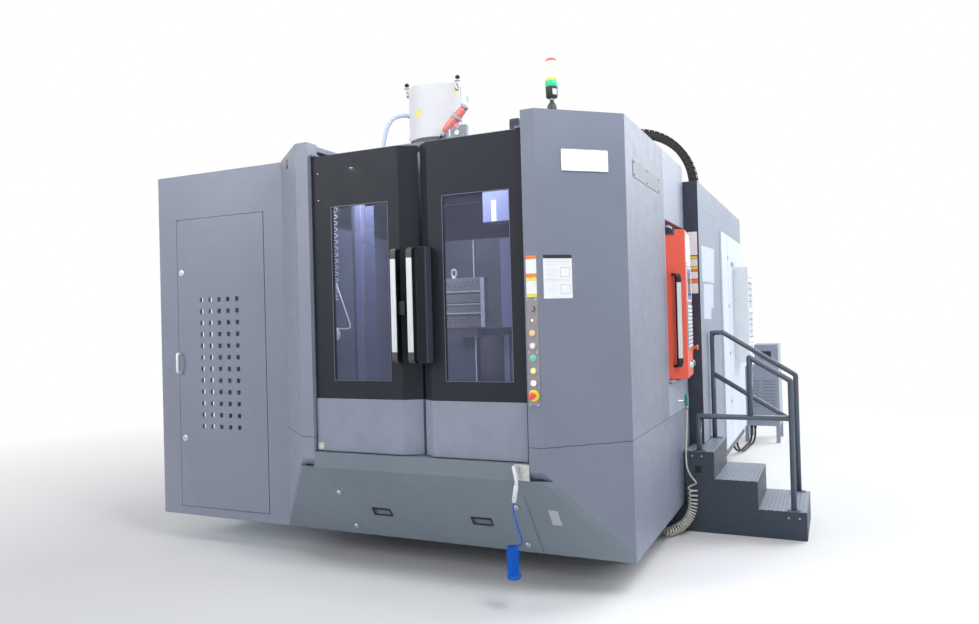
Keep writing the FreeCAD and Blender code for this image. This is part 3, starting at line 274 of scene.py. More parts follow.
M = {
    "front_grey": paint((0.245, 0.27, 0.345)),
    # The cover paint made darker for the control housing: painted shade on its angled face.
    "side_grey": paint((0.195, 0.222, 0.292)),
    # The cover paint made lighter for the side panel and closing sheet: painted light on the side facing the
    # key lamp.
    "front_grey_painted_light": paint((0.31, 0.355, 0.45)),
    "apron": paint((0.185, 0.225, 0.262), rough=0.5, gloss=0.35),
    "door": paint((0.016, 0.019, 0.028), rough=0.5, split=((0.275, 0.305, 0.385), 1.116), gloss=0.26,
                  uneven=0.03),
    "black_paint": paint((0.010, 0.012, 0.019), rough=0.5, gloss=0.15),
    "pod_red": paint((0.78, 0.105, 0.062), rough=0.40, wear_and_highlight=0.3),
    "rear": paint((0.285, 0.325, 0.41), rough=0.5, gloss=0.35, bumpy=0.03, front=(0.045, 0.052, 0.075)),
    "cabinet": paint((0.66, 0.74, 0.82), rough=0.38),
    "exchanger": paint((0.86, 0.90, 0.95), rough=0.35),
    "far_grey": paint((0.35, 0.40, 0.48), rough=0.4),
    "plinth": paint((0.07, 0.08, 0.10)),
    "dark_guard": paint((0.20, 0.22, 0.33), rough=0.5, bumpy=0.01),
    "slate": paint((0.052, 0.068, 0.092), rough=0.5, gloss=0.3),
    "rail": paint((0.10, 0.125, 0.165), rough=0.34, edge=0.001),
    "casting": paint((0.13, 0.14, 0.17), rough=0.5, grain=160, bumpy=0.02),
    "steel": brushed((0.62, 0.64, 0.66)),
    "plate_steel": brushed((0.30, 0.285, 0.30), rough=0.45, metal=0.6),
    "ground_steel": paint((0.50, 0.52, 0.58), rough=0.38, bumpy=0.01),
    "aluminium": brushed((0.66, 0.70, 0.72), (700, 700, 12), 0.42, 0.4),
    "name_plate": brushed((0.21, 0.225, 0.26), (40, 40, 900), 0.5, 0.3),
    "zinc": brushed((0.56, 0.58, 0.57), (60, 60, 60), 0.45, 0.7),
    "pull_steel": brushed((0.88, 0.89, 0.90), (300, 300, 300), 0.35, 0.5),
    "brass": brushed((0.70, 0.50, 0.22), (200, 200, 200), 0.3),
    "black_plastic": plastic((0.014, 0.015, 0.019), 0.42, gloss=0.35),
    "dark_grip": plastic((0.055, 0.060, 0.060), 0.45),
    "grey_plastic": plastic((0.24, 0.26, 0.31), 0.4),
    "plug_grey": plastic((0.50, 0.56, 0.63), 0.4),
    "pale_plastic": plastic((0.74, 0.77, 0.82), 0.4),
    "rubber": plastic((0.018, 0.019, 0.022), 0.6, 300, 0.2),
    "drum": paint((0.93, 0.94, 0.96), rough=0.36, variation=0.02),
    "drum_base": paint((0.34, 0.42, 0.40), rough=0.45),
    "paper": plastic((0.90, 0.92, 0.95), 0.6, 220, 0.1, variation=0.03),
    "sheet_paper": plastic((0.58, 0.64, 0.74), 0.6, 220, 0.1, variation=0.04),
    "label_grey": plastic((0.42, 0.45, 0.47), 0.5, 500, 0.3),
    "label_yellow": plastic((0.86, 0.80, 0.10), 0.45),
    "label_pale_yellow": plastic((0.90, 0.88, 0.30), 0.45),
    "label_orange": plastic((0.90, 0.26, 0.06), 0.45),
    "label_teal": plastic((0.36, 0.62, 0.56), 0.45),
    "red": plastic((0.86, 0.085, 0.065), 0.28, coat=0.4),
    "plug_red": plastic((0.95, 0.26, 0.23), 0.3, coat=0.3),
    "orange": plastic((0.86, 0.24, 0.03), 0.28, coat=0.4),
    "white_cap": plastic((0.80, 0.82, 0.82), 0.28, coat=0.4),
    "teal": plastic((0.02, 0.26, 0.20), 0.28, coat=0.4),
    "yellow": plastic((0.93, 0.80, 0.05), 0.28, coat=0.4),
    # Caps of unlit buttons and the hose fitting: a faint painted glow; only the violet cap is a lit lens.
    "cap_orange_painted_glow": lit((1.0, 0.50, 0.20), 0.35),
    "cap_white_painted_glow": lit((0.84, 0.88, 0.88), 0.15),
    "cap_teal_painted_glow": lit((0.05, 0.60, 0.54), 0.25),
    "cap_yellow_painted_glow": lit((0.95, 0.93, 0.22), 0.3),
    "cap_violet": lit((0.93, 0.90, 1.0), 1.1, spread=0.02),
    "knob_grey": plastic((0.035, 0.052, 0.062), 0.45, gloss=0.2),
    "blue_hose": plastic((0.0, 0.12, 0.60), 0.3, 120, 0.1, gloss=0.2),
    "cream_hose": plastic((0.62, 0.63, 0.54), 0.3, 120, 0.1, 0.3),
    "pale_hose": plastic((0.60, 0.75, 0.95), 0.35, 120, 0.1, 0.2),
    # Painted glow: lights the wash hose, gun and bail in shade, and paints highlights on the eyebolt and slot
    # edges.
    "painted_glow_white": lit((0.82, 0.86, 0.94), 0.3),
    "cable": plastic((0.014, 0.015, 0.018), 0.45, 200, 0.15),
    "cable_yellow": plastic((0.70, 0.52, 0.06), 0.45),
    "copper": plastic((0.72, 0.30, 0.10), 0.4),
    "window": glass((0.09, 0.10, 0.16), 0.36),
    "window_edge": plastic((0.13, 0.14, 0.19), 0.35),
    "screen_blue": lit((0.03, 0.10, 0.42), 0.5),
    "screen_dark": lit((0.02, 0.022, 0.03), 0.2, 0.15),
    "display_white": lit((0.92, 0.92, 0.90), 0.75, spread=0.02),
    "display_green": lit((0.72, 0.90, 0.78), 0.8, spread=0.02),
    "display_yellow": lit((0.95, 0.90, 0.66), 0.8, spread=0.02),
    "lens_red": lit((0.88, 0.12, 0.10), 0.5),
    "lens_pink": lit((1.0, 0.86, 0.83), 0.9, spread=0.03),
    "lens_amber": lit((0.95, 0.50, 0.06), 0.6),
    "lens_cream": lit((1.0, 0.93, 0.78), 0.9, spread=0.03),
    "lens_cream_ring": lit((1.0, 0.84, 0.45), 0.6),
    "lens_green": lit((0.02, 0.52, 0.25), 0.35),
    "lamp_strip": lit((0.85, 0.90, 1.0), 1.2),
    "tread": tread((0.32, 0.36, 0.43)),
    # Post cover and its return: painted glow standing for the station lamp's light.
    "lamp_post": lit((0.33, 0.37, 0.66), 0.12, 0.4),
    "lamp_post_side": lit((0.22, 0.25, 0.45), 0.10, 0.4),
    # Lamp box cover: painted glow from the strip in front of it.
    "painted_glow_case": lit((0.40, 0.44, 0.78), 0.15, 0.4),
    # Divider band: painted glow for the light of the station lamps.
    "station_painted_glow": lit((0.17, 0.19, 0.36), 0.45, 0.4),
    # Fixture side and divider edge: painted highlight.
    "painted_highlight_edge": lit((0.62, 0.68, 0.95), 0.45, 0.35),
    "trim_slate": plastic((0.055, 0.060, 0.085), 0.45, gloss=0.25),
}
for name, material in M.items():
    material.name = name

NODE_MATERIALS = {
    "front_grey": "left_corner_cover left_corner_skirt housing_panels service_fascia service_door",
    "side_grey": "control_housing control_housing_skirt",
    "front_grey_painted_light": "side_panel_rear",
    "apron": "front_apron hatch_cover",
    "door": "left_door_skin right_door_skin",
    "window": "left_door_window right_door_window",
    "pod_red": "pod_shell",
    "rear": "rear_housing",
    "cabinet": "electrical_cabinet service_unit",
    "exchanger": "heat_exchanger",
    "far_grey": "transformer_cabinet",
    "plinth": "floor_frame",
    "casting": "base_bed pallet_changer table_saddle column spindle_head",
    "steel": "upper_door_lock lower_door_lock right_door_handle spindle rotary_table",
    "ground_steel": "pallets fixture_plate",
    "plate_steel": "button_strip",
    "aluminium": "left_door_handle pod_handle tool_magazine",
    "dark_guard": "station_guards",
    "slate": "stair_body",
    "rail": "handrails",
    "drum": "mist_collector",
    "plug_red": "power_connector",
    "black_plastic": "stack_light cable_carrier",
    "orange": "orange_button",
    "white_cap": "white_button lit_button",
    "teal": "teal_button side_air_gun",
    "yellow": "yellow_button",
    "red": "strip_emergency_stop pod_emergency_stop",
    "zinc": "front_air_gun",
    "cable": "supply_cables",
    "blue_hose": "front_hose front_hose_coil",
    "cream_hose": "side_hose side_hose_coil",
    "painted_glow_white": "wash_hose",
    "pale_hose": "mist_hose",
}
for key, names in NODE_MATERIALS.items():
    for name in names.split():
        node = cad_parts[name]
        node.data.materials.clear()
        node.data.materials.append(M[key])

# ---- cords

ROOF = 2693


def hose(name, points, diameter, material, nodes=()):
    """A cord on one open spline with its route points as control points."""
    data = bpy.data.curves.new(name, "CURVE")
    data.dimensions = "3D"
    data.resolution_u = 4
    data.bevel_depth = diameter / 2000
    data.bevel_resolution = 3
    data.use_fill_caps = True
    spline = data.splines.new("NURBS")
    spline.points.add(len(points) - 1)
    for point, target in zip(spline.points, points):
        point.co = (*at(*target), 1)
    spline.order_u = 3
    spline.use_endpoint_u = True
    data.materials.append(M[material])
    cord = bpy.data.objects.new(name, data)
    scene.collection.objects.link(cord)
    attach(cord, BASE)
    for node in nodes:
        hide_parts(node)


SPLINE_SHRINK = 0.975  # the spline runs this much inside its control points, at 14 points a turn


def coil(line, side, radius, turns, crowd=1.0, per_turn=14):
    """Points of a helix whose middle follows a four-point line, as in the part's own winding."""
    line = [Vector(p) for p in line]

    def middle(turn):
        t = (max(turn, 0) / turns) ** crowd
        shares = ((1 - t) ** 3, 3 * t * (1 - t) ** 2, 3 * t ** 2 * (1 - t), t ** 3)
        return sum((p * share for p, share in zip(line, shares)), Vector())

    def place(turn):
        ahead = (middle(turn + 0.02) - middle(turn - 0.02)).normalized()
        level = side.cross(ahead).normalized()
        angle = 2 * math.pi * turn
        out = level * math.cos(angle) + level.cross(ahead) * math.sin(angle)
        return middle(turn) + out * (radius / SPLINE_SHRINK)

    return [place(i / per_turn) for i in range(int(turns * per_turn) + 1)]


def curls(x, y, knots, per_turn=14):
    """Points of hanging curls; each knot is a turn count with its height and radius."""
    points = []
    for (turn, height, radius), (next_turn, next_height, next_radius) in zip(knots, knots[1:]):
        count = round((next_turn - turn) * per_turn)
        for i in range(count):
            reach = radius + (next_radius - radius) * i / count
            place = polar(reach, 90 + 360 * (turn + i / per_turn), (x, y))
            points.append((*place, height + (next_height - height) * i / count))
    return points


front_loops = coil([(611, -391, z) for z in (352, 296, 238, 183)], Vector(RIGHT), 29, 17.75)
front_route = [(637, -391, 660), (625, -391, 592), (617, -391, 545), (636, -391, 486), (650, -388, 430),
               (661, -368, 378), (640, -361.6, 353.5)]
front_return = [(640, -345, 180.7), (596, -275, 174), (556, -195, 168), (520, -110, 165), (486, -25, 162),
                (462, 38, 168), (445, 78, 188), (445, 78, 225)]
front_points = [tuple(p) for p in front_route + front_loops + front_return]
hose("front_air_hose", front_points[::-1], 8, "blue_hose",
     ("front_hose", "front_hose_coil"))

side_loops = coil([(1250, 1397, 350), (1274, 1408, 150), (1222, 1404, 44), (1080, 1220, 41)],
                  Vector((1, -1, 0)).normalized(), 29, 20, 0.85)
side_route = [(1242, 1330, 900), (1237, 1330, 760), (1227, 1332, 610), (1224, 1336, 530), (1230, 1343, 478),
              (1242, 1352, 441), (1255, 1362, 415), (1267, 1372, 397), (1275.5, 1382, 383),
              (1279.5, 1394, 371), (1278, 1407, 361)]
side_return = [(1066, 1228, 11.5), (1037.9, 1242.8, 11.8), (1000, 1242.8, 11.8)]
side_points = [tuple(p) for p in side_route + side_loops + side_return]
hose("side_air_hose", side_points[::-1], 12, "cream_hose",
     ("side_hose", "side_hose_coil"))
mist_route = [(-782, 1020, 3184), (-825, 970, 3190), (-888, 903, 3136), (-922, 871, 3005), (-932, 861, 2855),
              (-930, 860, ROOF)]
hose("mist_drain_hose", mist_route, 30, "pale_hose", ("mist_hose",))
for index, x in enumerate((1250, 1290)):
    route = [(x, 5640, 200), (x, 5630, 120), (x - 2, 5570, 48), (x - 8, 5450, 12.5), (x - 28, 5230, 12.5),
             (x - 38, 4980, 12.5), (x - 60, 4760, 20), (x - 84, 4620, 70), (x - 96, 4560, 150),
             (x - 100, 4545, 258)]
    hose(f"supply_cable_{index}", route, 24, "cable",
         ("supply_cables",) if index == 0 else ())
wash_start = [(-609, -262, 2297), (-592, -266, 2293), (-577, -254, 2286), (-577, -240, 2280),
              (-586, -234, 2273)]
wash_curls = curls(-596, -252, [(0, 2268, 18.5), (11, 1836, 18.5), (12, 1811, 12.8), (16.25, 1712, 12.8)])
wash_end = [(-608.8, -252, 1712), (-608.9, -258.5, 1708), (-608.6, -264, 1701), (-607.8, -266, 1691),
            (-606.5, -263, 1678), (-605.3, -258, 1660), (-605, -256, 1630), (-605, -256, 1590),
            (-606, -256, 1548)]
wash_points = wash_start + wash_curls + wash_end
hose("wash_down_hose", wash_points, 6, "painted_glow_white", ("wash_hose",))


# ---- piece builder

def across(way):
    """A direction square to another."""
    helper = Vector(UP) if abs(way.z) < 0.9 else Vector(RIGHT)
    return way.cross(helper).normalized()


def circle(centre, u, v, radius, sides):
    """Points of a circle about a place."""
    angles = (2 * math.pi * i / sides for i in range(sides))
    return [centre + (u * math.cos(a) + v * math.sin(a)) * radius for a in angles]


def quarter(middle, radius, start, steps=6):
    """Points of a quarter circle."""
    return [polar(radius, start + 90 * i / steps, middle) for i in range(steps + 1)]


def rounded(x0, x1, z0, z1, radius):
    """Outline of a rectangle with round corners."""
    corners = ((x1 - radius, z1 - radius, 0), (x0 + radius, z1 - radius, 90),
               (x0 + radius, z0 + radius, 180), (x1 - radius, z0 + radius, 270))
    return [point for x, z, start in corners for point in quarter((x, z), radius, start, 5)]


class Piece:
    """Mesh parts of one material on one body, gathered into one object."""

    made = []

    def __init__(self, name, material, body=BASE, axes=WORLD, stands_for=()):
        self.name = name
        self.material = material
        self.body = body
        self.axes = axes
        self.stands_for = stands_for
        self.mesh = bmesh.new()
        self.made.append(self)

    def move(self, verts, axes=None):
        """Carry new points from a piece's own axes to the scene."""
        bmesh.ops.transform(self.mesh, matrix=axes or self.axes, verts=verts)
        return self

    def wall(self, one, two, smooth=False):
        """Faces between two closed rows of points."""
        for corners in zip(one, one[1:] + one[:1], two[1:] + two[:1], two):
            self.mesh.faces.new(corners).smooth = smooth

    def block(self, x0, x1, y0, y1, z0, z1, edge=1.0, axes=None):
        """A block with softened edges, by at most a third of its thinnest side."""
        made = bmesh.ops.create_cube(self.mesh, size=1)["verts"]
        spans = (abs(x1 - x0), abs(y1 - y0), abs(z1 - z0))
        middle = Matrix.Translation(((x0 + x1) / 2, (y0 + y1) / 2, (z0 + z1) / 2))
        self.move(made, middle @ Matrix.Diagonal((*spans, 1)))
        edge = min(edge, min(spans) * 0.35)
        edges = list({e for v in made for e in v.link_edges})
        if edge > 0.05:
            out = bmesh.ops.bevel(self.mesh, geom=edges, offset=edge, segments=2, profile=0.6, affect="EDGES")
            made = list({v for f in out["faces"] for v in f.verts} | {v for v in made if v.is_valid})
        return self.move(made, axes)

    def skin(self, rings):
        """Smooth walls through rings of points, with a cap on each end."""
        rings = [[self.mesh.verts.new(place) for place in ring] for ring in rings]
        for one, two in zip(rings, rings[1:]):
            self.wall(one, two, smooth=True)
        self.mesh.faces.new(rings[0][::-1])
        self.mesh.faces.new(rings[-1])
        return self.move([v for ring in rings for v in ring])

    def turned(self, start, way, steps, sides=28):
        """A turned part: (distance, radius) pairs about a line."""
        start, way = Vector(start), Vector(way).normalized()
        u = across(way)
        v = way.cross(u)
        rings = [circle(start + way * distance, u, v, radius, sides) for distance, radius in steps]
        return self.skin(rings)

    def screw(self, place, way, radius=6, height=4):
        """A domed screw head with a recess ring."""
        steps = [(0, radius), (height * 0.45, radius), (height * 0.85, radius * 0.8), (height, radius * 0.5),
                 (height * 0.7, radius * 0.42), (height * 0.6, radius * 0.05)]
        return self.turned(place, way, steps, 16)

    def path(self, points, radius, sides=14, rounding=0.4):
        """A bent rod through points with rounded corners."""
        points = [Vector(p) for p in points]
        line = [points[0]]
        for a, b, c in zip(points, points[1:], points[2:]):
            reach = rounding * min((a - b).length, (c - b).length)
            p, q = b + (a - b).normalized() * reach, b + (c - b).normalized() * reach
            line += [p.lerp(b, t).lerp(b.lerp(q, t), t) for t in (0, 0.2, 0.4, 0.6, 0.8, 1)]
        line.append(points[-1])
        rings, side = [], None
        for before, place, after in zip(line[:1] + line, line, line[1:] + line[-1:]):
            way = (after - before).normalized()
            side = side or across(way)
            side = (side - way * side.dot(way)).normalized()
            rings.append(circle(place, side, way.cross(side), radius, sides))
        return self.skin(rings)

    def sheet(self, outline, thick):
        """A flat plate: outline in x and z of the axes, standing out along y."""
        front = [self.mesh.verts.new((x, thick, z)) for x, z in outline]
        back = [self.mesh.verts.new((x, 0, z)) for x, z in outline]
        self.mesh.faces.new(front)
        self.mesh.faces.new(back[::-1])
        self.wall(back, front)
        return self.move(front + back)

    def label(self, x0, x1, z0, z1, radius, thick):
        """A flat plate with round corners."""
        return self.sheet(rounded(x0, x1, z0, z1, radius), thick)

    def gasket(self, outer, inner, y0, y1):
        """A flat frame between two outlines with the same number of points."""
        layers = [[self.mesh.verts.new((x, y, z)) for x, z in outline]
                  for outline, y in ((outer, y0), (inner, y0), (inner, y1), (outer, y1))]
        for one, two in zip(layers, layers[1:] + layers[:1]):
            self.wall(one, two)
        return self.move([v for layer in layers for v in layer])

    def place(self):
        """Turn the mesh into an object on its body."""
        data = bpy.data.meshes.new(self.name)
        bmesh.ops.recalc_face_normals(self.mesh, faces=self.mesh.faces)
        self.mesh.to_mesh(data)
        self.mesh.free()
        data.materials.append(M[self.material])
        piece = bpy.data.objects.new(self.name, data)
        scene.collection.objects.link(piece)
        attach(piece, self.body)
        if self.stands_for:
            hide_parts(*self.stands_for)


# ---- front doors

DOOR_FACE = -326
DEPTH_AXES = Matrix(((0, 1, 0), (-1, 0, 0), (0, 0, 1))).to_4x4()
for side, a, b in (("left", -565, -161), ("right", 200, 616)):
    seal = Piece(f"{side}_window_edge", "window_edge", f"{side}_leaf")
    outer, inner = rounded(a - 1, b + 1, 1226, 2284, 3), rounded(a + 3, b - 3, 1230, 2280, 2)
    seal.gasket(outer, inner, DOOR_FACE - 1, DOOR_FACE + 1)


def grip_profile(reach, low, high, radius, thick):
    """Outline of a C-shaped grip in depth and height, open toward the door."""
    bends = (((reach - radius, low + radius), -90), ((reach - radius, high - radius), 0))
    outer, inner = ([point for middle, start in bends for point in quarter(middle, size, start)]
                    for size in (radius, radius - thick))
    return [(0, low)] + outer + [(0, high), (0, high - thick)] + inner[::-1] + [(0, low + thick)]


def grip(side, x0, x1, reach, low=1332, high=1997, bend=30, tip=65):
    """A door's grip: a dark C-shaped body with a bright inlay on its face."""
    body, axes = f"{side}_leaf", WORLD @ Matrix.Translation((x0, DOOR_FACE, 0)) @ DEPTH_AXES
    shell = Piece(f"{side}_grip_body", "black_plastic", body, axes, (f"{side}_door_handle",))
    shell.sheet(grip_profile(reach - 4, low, high, bend, 17), x1 - x0)
    ends = Piece(f"{side}_grip_ends", "dark_grip", body, axes)
    for turn, z in ((-1, low), (1, high)):
        middle = (reach - bend, z - turn * bend)
        outer, inner = ([polar(radius, turn * (90 - t), middle) for t in range(0, 91, 15)]
                        for radius in (bend, bend - 5))
        ends.sheet([(reach - 44, z)] + outer + [(reach, z - turn * tip), (reach - 5, z - turn * tip)]
                   + inner[::-1] + [(reach - 44, z - turn * 5)], x1 - x0 + 1)
    bar = Piece(f"{side}_grip_bar", "aluminium", body)
    bar.block(x0, x1 + 1, DOOR_FACE - reach - 0.5, DOOR_FACE - reach + 6, low + tip, high - 62, 3)


grip("left", -113, -79, 66)
grip("right", 8, 43, 89)
Piece("left_grip_web", "black_paint", "left_leaf").block(-107, -84, -378, DOOR_FACE, 1350, 1980, 4)
bracket = Piece("right_grip_bracket", "black_paint", "right_leaf")
bracket.block(64, 121, -401, -337, 1334, 1995, 3)
bracket.block(14, 126, -340, DOOR_FACE, 1334, 1995, 1)
bracket.block(14, 66, -398, DOOR_FACE, 1350, 1980, 3)
Piece("grip_latch_block", "black_plastic", "left_leaf").block(-76, -30, -372, DOOR_FACE, 1610, 1690, 4)
Piece("right_grip_trim", "trim_slate", "right_leaf").block(120, 128, -398, -338, 1336, 1993, 1)
foot_plate = Piece("left_foot_bracket", "zinc", "left_leaf")
foot_plate.block(-697, -650, -333, -330, 802, 846, 1)
for dx in (-686, -662):
    for dz in (812, 836):
        foot_plate.screw((dx, -333, dz), FRONT, 5, 4)

# ---- push buttons on the post

POST_Y = -357
BUTTON_X = 746
bezels = Piece("button_bezels", "aluminium")
BEZEL = [(0, 17.5), (4, 17.5), (6.5, 16.5), (7, 14), (6.2, 13.6), (0.2, 13.5)]
CAP = [(0, 13), (4.7, 13), (6.1, 12), (6.6, 9), (6.4, 0.5)]
# Only the lit button glows for real; the other caps carry a painted glow.
for name, z, material in (("orange", 1493, "cap_orange_painted_glow"), ("white", 1425, "cap_white_painted_glow"),
                          ("teal", 1359, "cap_teal_painted_glow"), ("yellow", 1292, "cap_yellow_painted_glow"),
                          ("lit", 1226, "cap_violet")):
    bezels.turned((BUTTON_X, POST_Y - 3, z), FRONT, BEZEL)
    cap = Piece(f"{name}_cap_glow", material, f"{name}_cap", stands_for=(f"{name}_button",))
    cap.turned((BUTTON_X, POST_Y - 7.4, z), FRONT, CAP)
bezels.turned((BUTTON_X, POST_Y - 3, 1561), FRONT, [(0, 8), (3, 8), (4, 6.5), (3.5, 5)])
selector = Piece("selector_knob", "knob_grey")
selector.turned((BUTTON_X, POST_Y - 3, 1623), FRONT, [(0, 16), (4, 16), (6, 14.5), (9, 14), (10, 12),
                                                      (9.4, 4)])
pilot = Piece("pilot_lens", "lens_pink")
pilot.turned((BUTTON_X, POST_Y - 6, 1561), FRONT, [(0, 5), (1.5, 4.5), (2.5, 2.5)])
stop_ring = Piece("strip_stop_plate", "yellow")
stop_ring.turned((BUTTON_X, POST_Y - 9, 1160), FRONT, [(0, 31), (1.2, 31), (1.8, 30), (1.8, 14)])
stop = Piece("strip_stop_mushroom", "red", "strip_stop_head", stands_for=("strip_emergency_stop",))
stop.turned((BUTTON_X, POST_Y - 30, 1160), FRONT, [(-24, 11.5), (0, 12), (3, 13), (6, 18), (9, 20), (15, 20),
                                                   (19, 17), (21.5, 10), (22, 1)])


def screws(name, material, spots, way, radius, height, body=BASE):
    """Screw heads of one size that face one way."""
    piece = Piece(name, material, body)
    for spot in spots:
        piece.screw(spot, way, radius, height)
    return piece


def labels(name, material, axes, thick, rows):
    """Blank labels with round corners on a face."""
    piece = Piece(name, material, axes=axes)
    for x0, x1, low, high in rows:
        piece.label(x0, x1, low, high, 2, thick)
    return piece


spots = [(x, POST_Y - 3, z) for z in (1673, 1392, 1110) for x in (723, 768)]
screws("strip_screws", "aluminium", spots, FRONT, 4.5, 2.5)
post_front = face_frame((0, POST_Y, 0), (1, 0))
screws("door_face_screws", "zinc", [(-655, DOOR_FACE, z) for z in (2330, 2495)], FRONT, 5, 3, "left_leaf")
labels("post_labels_white", "paper", post_front, 0.6, ((716, 776, 1811, 1888), (716, 776, 1702, 1772)))
labels("post_label_orange", "label_orange", post_front, 0.8, ((716, 776, 1889, 1907), (716, 776, 1793, 1810)))
labels("post_label_yellow", "label_yellow", post_front, 0.8, ((716, 776, 1773, 1791), (716, 776, 1684, 1701)))

# ---- angled face and side

angled = face_frame((787, -357, 0), (396, 357))
FACE_LENGTH = math.hypot(396, 357)


def post_side(*distances):
    """Places along the angled face, measured from its far post."""
    return [FACE_LENGTH - distance for distance in distances]


Piece("angled_notice", "paper", axes=angled).label(*post_side(505, 339), 1675, 1908, 3, 1)
lines = Piece("angled_notice_lines", "label_grey", axes=angled)
for z in (1884, 1872, 1858, 1776, 1768):
    lines.block(*post_side(496, 352), 1, 1.4, z, z + 1, 0)
for low in (1790, 1698):
    lines.gasket(rounded(*post_side(408, 352), low, low + 52, 4),
                 rounded(*post_side(406, 354), low + 2, low + 50, 3), 1, 1.4)
    for z in (low + 12, low + 26, low + 40):
        lines.block(*post_side(488, 424), 1, 1.4, z, z + 1, 0)
Piece("angled_notice_head", "cable", axes=angled).label(*post_side(505, 339), 1890, 1909, 3, 1.5)
Piece("display_frame", "plug_grey", axes=angled).gasket(rounded(*post_side(388, 107), 2362, 2482, 5),
                                                        rounded(*post_side(384, 111), 2366, 2478, 3), 0, 7)
Piece("display_panel", "display_white", axes=angled).label(*post_side(385, 110), 2366, 2479, 3, 4)
for index, (material, first, last) in enumerate((("display_yellow", 370, 318), ("display_green", 286, 226),
                                                 ("display_yellow", 196, 150))):
    bars = Piece(f"display_bars_{index}", material, axes=angled)
    for z in (2384, 2420, 2456):
        bars.block(*post_side(first, last), 4, 4.6, z, z + 5, 0)

side_face = face_frame((1183, 0, 0), (0, 1))
Piece("blank_name_plate", "name_plate", axes=side_face).label(165, 873, 2370, 2471, 8, 3)
spots = [(1186, y, z) for y in (185, 519, 853) for z in (2384, 2457)]
screws("name_plate_screws", "black_plastic", spots, RIGHT, 6, 3)
screws("side_panel_screws", "zinc", [(1183, y, z) for y in (960, 1060) for z in (806, 2630)], RIGHT, 6, 3)

# ---- pod

near_face = face_frame((1168, 1109, 0), (111, 109))
screen_side = face_frame((1279, 1218, 0), (-38, 433))
Piece("pod_grip_bar", "aluminium", "pod", near_face, ("pod_handle",)).block(40, 75, 53, 63, 1272, 1792, 4)
pod_axes = near_face @ Matrix.Translation((39, 0, 0)) @ Matrix(((0, 1, 0), (1, 0, 0), (0, 0, 1))).to_4x4()
Piece("pod_grip_body", "black_plastic", "pod", pod_axes).sheet(grip_profile(59, 1209, 1855, 30, 16), 37)
for index, (low, high) in enumerate(((1239, 1272), (1792, 1825))):
    tip = Piece(f"pod_grip_tip_{index}", "black_plastic", "pod", pod_axes)
    tip.sheet([(59, low), (63.5, low), (63.5, high), (59, high)], 37)
Piece("pod_hinge_bracket", "slate", "pod", near_face).block(-2, 70, 0, 5, 2122, 2162, 2)
pod_bolts = Piece("pod_bracket_bolts", "black_plastic", "pod", near_face)
for u in (22, 46):
    pod_bolts.turned((u, 5, 2142), OUT, [(0, 7), (5, 7), (6, 5.5), (3, 4)], 16)

upper = Piece("pod_upper_panel", "pale_plastic", "pod", screen_side)
upper.label(25, 400, 1915, 2150, 6, 3)
upper.label(60, 400, 1662, 1908, 5, 5)
upper_screws = Piece("pod_panel_screws", "black_plastic", "pod", screen_side)
for u in (38, 388):
    for z in (1930, 2136):
        upper_screws.turned((u, 3, z), OUT, [(0, 6), (2, 6), (3, 4)], 12)
Piece("pod_screen", "screen_blue", "pod", screen_side).label(85, 330, 1676, 1896, 4, 6)
Piece("pod_screen_area", "screen_dark", "pod", screen_side).label(92, 322, 1706, 1868, 3, 6.6)
keyboard = Piece("pod_key_field", "grey_plastic", "pod", screen_side)
keyboard.sheet([(40, 1318), (343, 1318), (343, 1339), (370, 1339), (370, 1318), (405, 1318), (405, 1656),
                (40, 1656)], 3)
keys = Piece("pod_keys", "pale_plastic", "pod", screen_side)
for row in range(11):
    for column in range(10):
        u, z = 62 + column * 33, 1336 + row * 28
        keys.block(u, u + 24, 3, 8, z, z + 19, 2)
knob = Piece("pod_stop_plate", "yellow", "pod", screen_side)
knob.turned((356.5, 6, 1325), OUT, [(0, 27), (1, 27), (1.6, 26), (1.6, 13)])
stop = Piece("pod_stop_mushroom", "red", "pod_stop_head", screen_side, ("pod_emergency_stop",))
stop.turned((356.5, 28, 1325), OUT, [(-26, 10.5), (0, 11), (2, 13), (5, 18), (8, 20), (13, 20), (16, 17),
                                     (18, 9), (18.4, 1)])
HAND_WHEEL = [(0, 24), (6, 24), (8, 18), (24, 17), (26, 14)]
Piece("pod_dials", "teal", "pod", screen_side).turned((300, 0, 1212), OUT, HAND_WHEEL)
dials = Piece("pod_dials_pale", "white_cap", "pod", screen_side)
dials.turned((120, 0, 1212), OUT, HAND_WHEEL)
dials.turned((210, 0, 1212), OUT, [(0, 15), (5, 15), (6, 11), (10, 10)])
dials = Piece("pod_dial_red", "red", "pod", screen_side)
dials.turned((362, 0, 1222), OUT, [(0, 15), (6, 15), (8, 12), (16, 11)])

# ---- service bay

pull = Piece("service_pull_rod", "pull_steel", "service_leaf")
pull.path([(-2166, 0, 1245), (-2166, -41, 1245), (-2166, -41, 1381), (-2166, 0, 1381)], 10.5, rounding=0.35)
for name, x, z in (("upper", -2149, 1971), ("lower", -2145, 762)):
    ring = Piece(f"{name}_lock_ring", "steel", "service_leaf")
    ring.turned((x, 0, z), FRONT, [(0, 24), (3, 24), (4, 22), (4, 14)])
    slot = Piece(f"{name}_lock_slot", "black_plastic", f"{name}_lock")
    slot.block(x - 1.5, x + 1.5, -7, -5, z - 9, z + 9, 0.4)

corner_face = face_frame((-1209, 0, 0), (409, -357))
Piece("corner_notch", "black_plastic", axes=corner_face).block(208, 262, -1, 1.5, 2598, 2652, 0.5)
Piece("corner_notch_clip", "copper", axes=corner_face).block(238, 258, 1, 4, 2618, 2640, 1.5)

# ---- apron and hatch

slope_way = Vector((0, -357, 491)).normalized()
out_way = Vector((0, -491, -357)).normalized()
slope_turn = Matrix((Vector(RIGHT), out_way, slope_way)).transposed().to_4x4()
slope = WORLD @ Matrix.Translation((0, 0, 205)) @ slope_turn
SLOPE = math.hypot(357, 491) / 357


def up_slope(y):
    """Distance up the slope from the foot line."""
    return -y * SLOPE


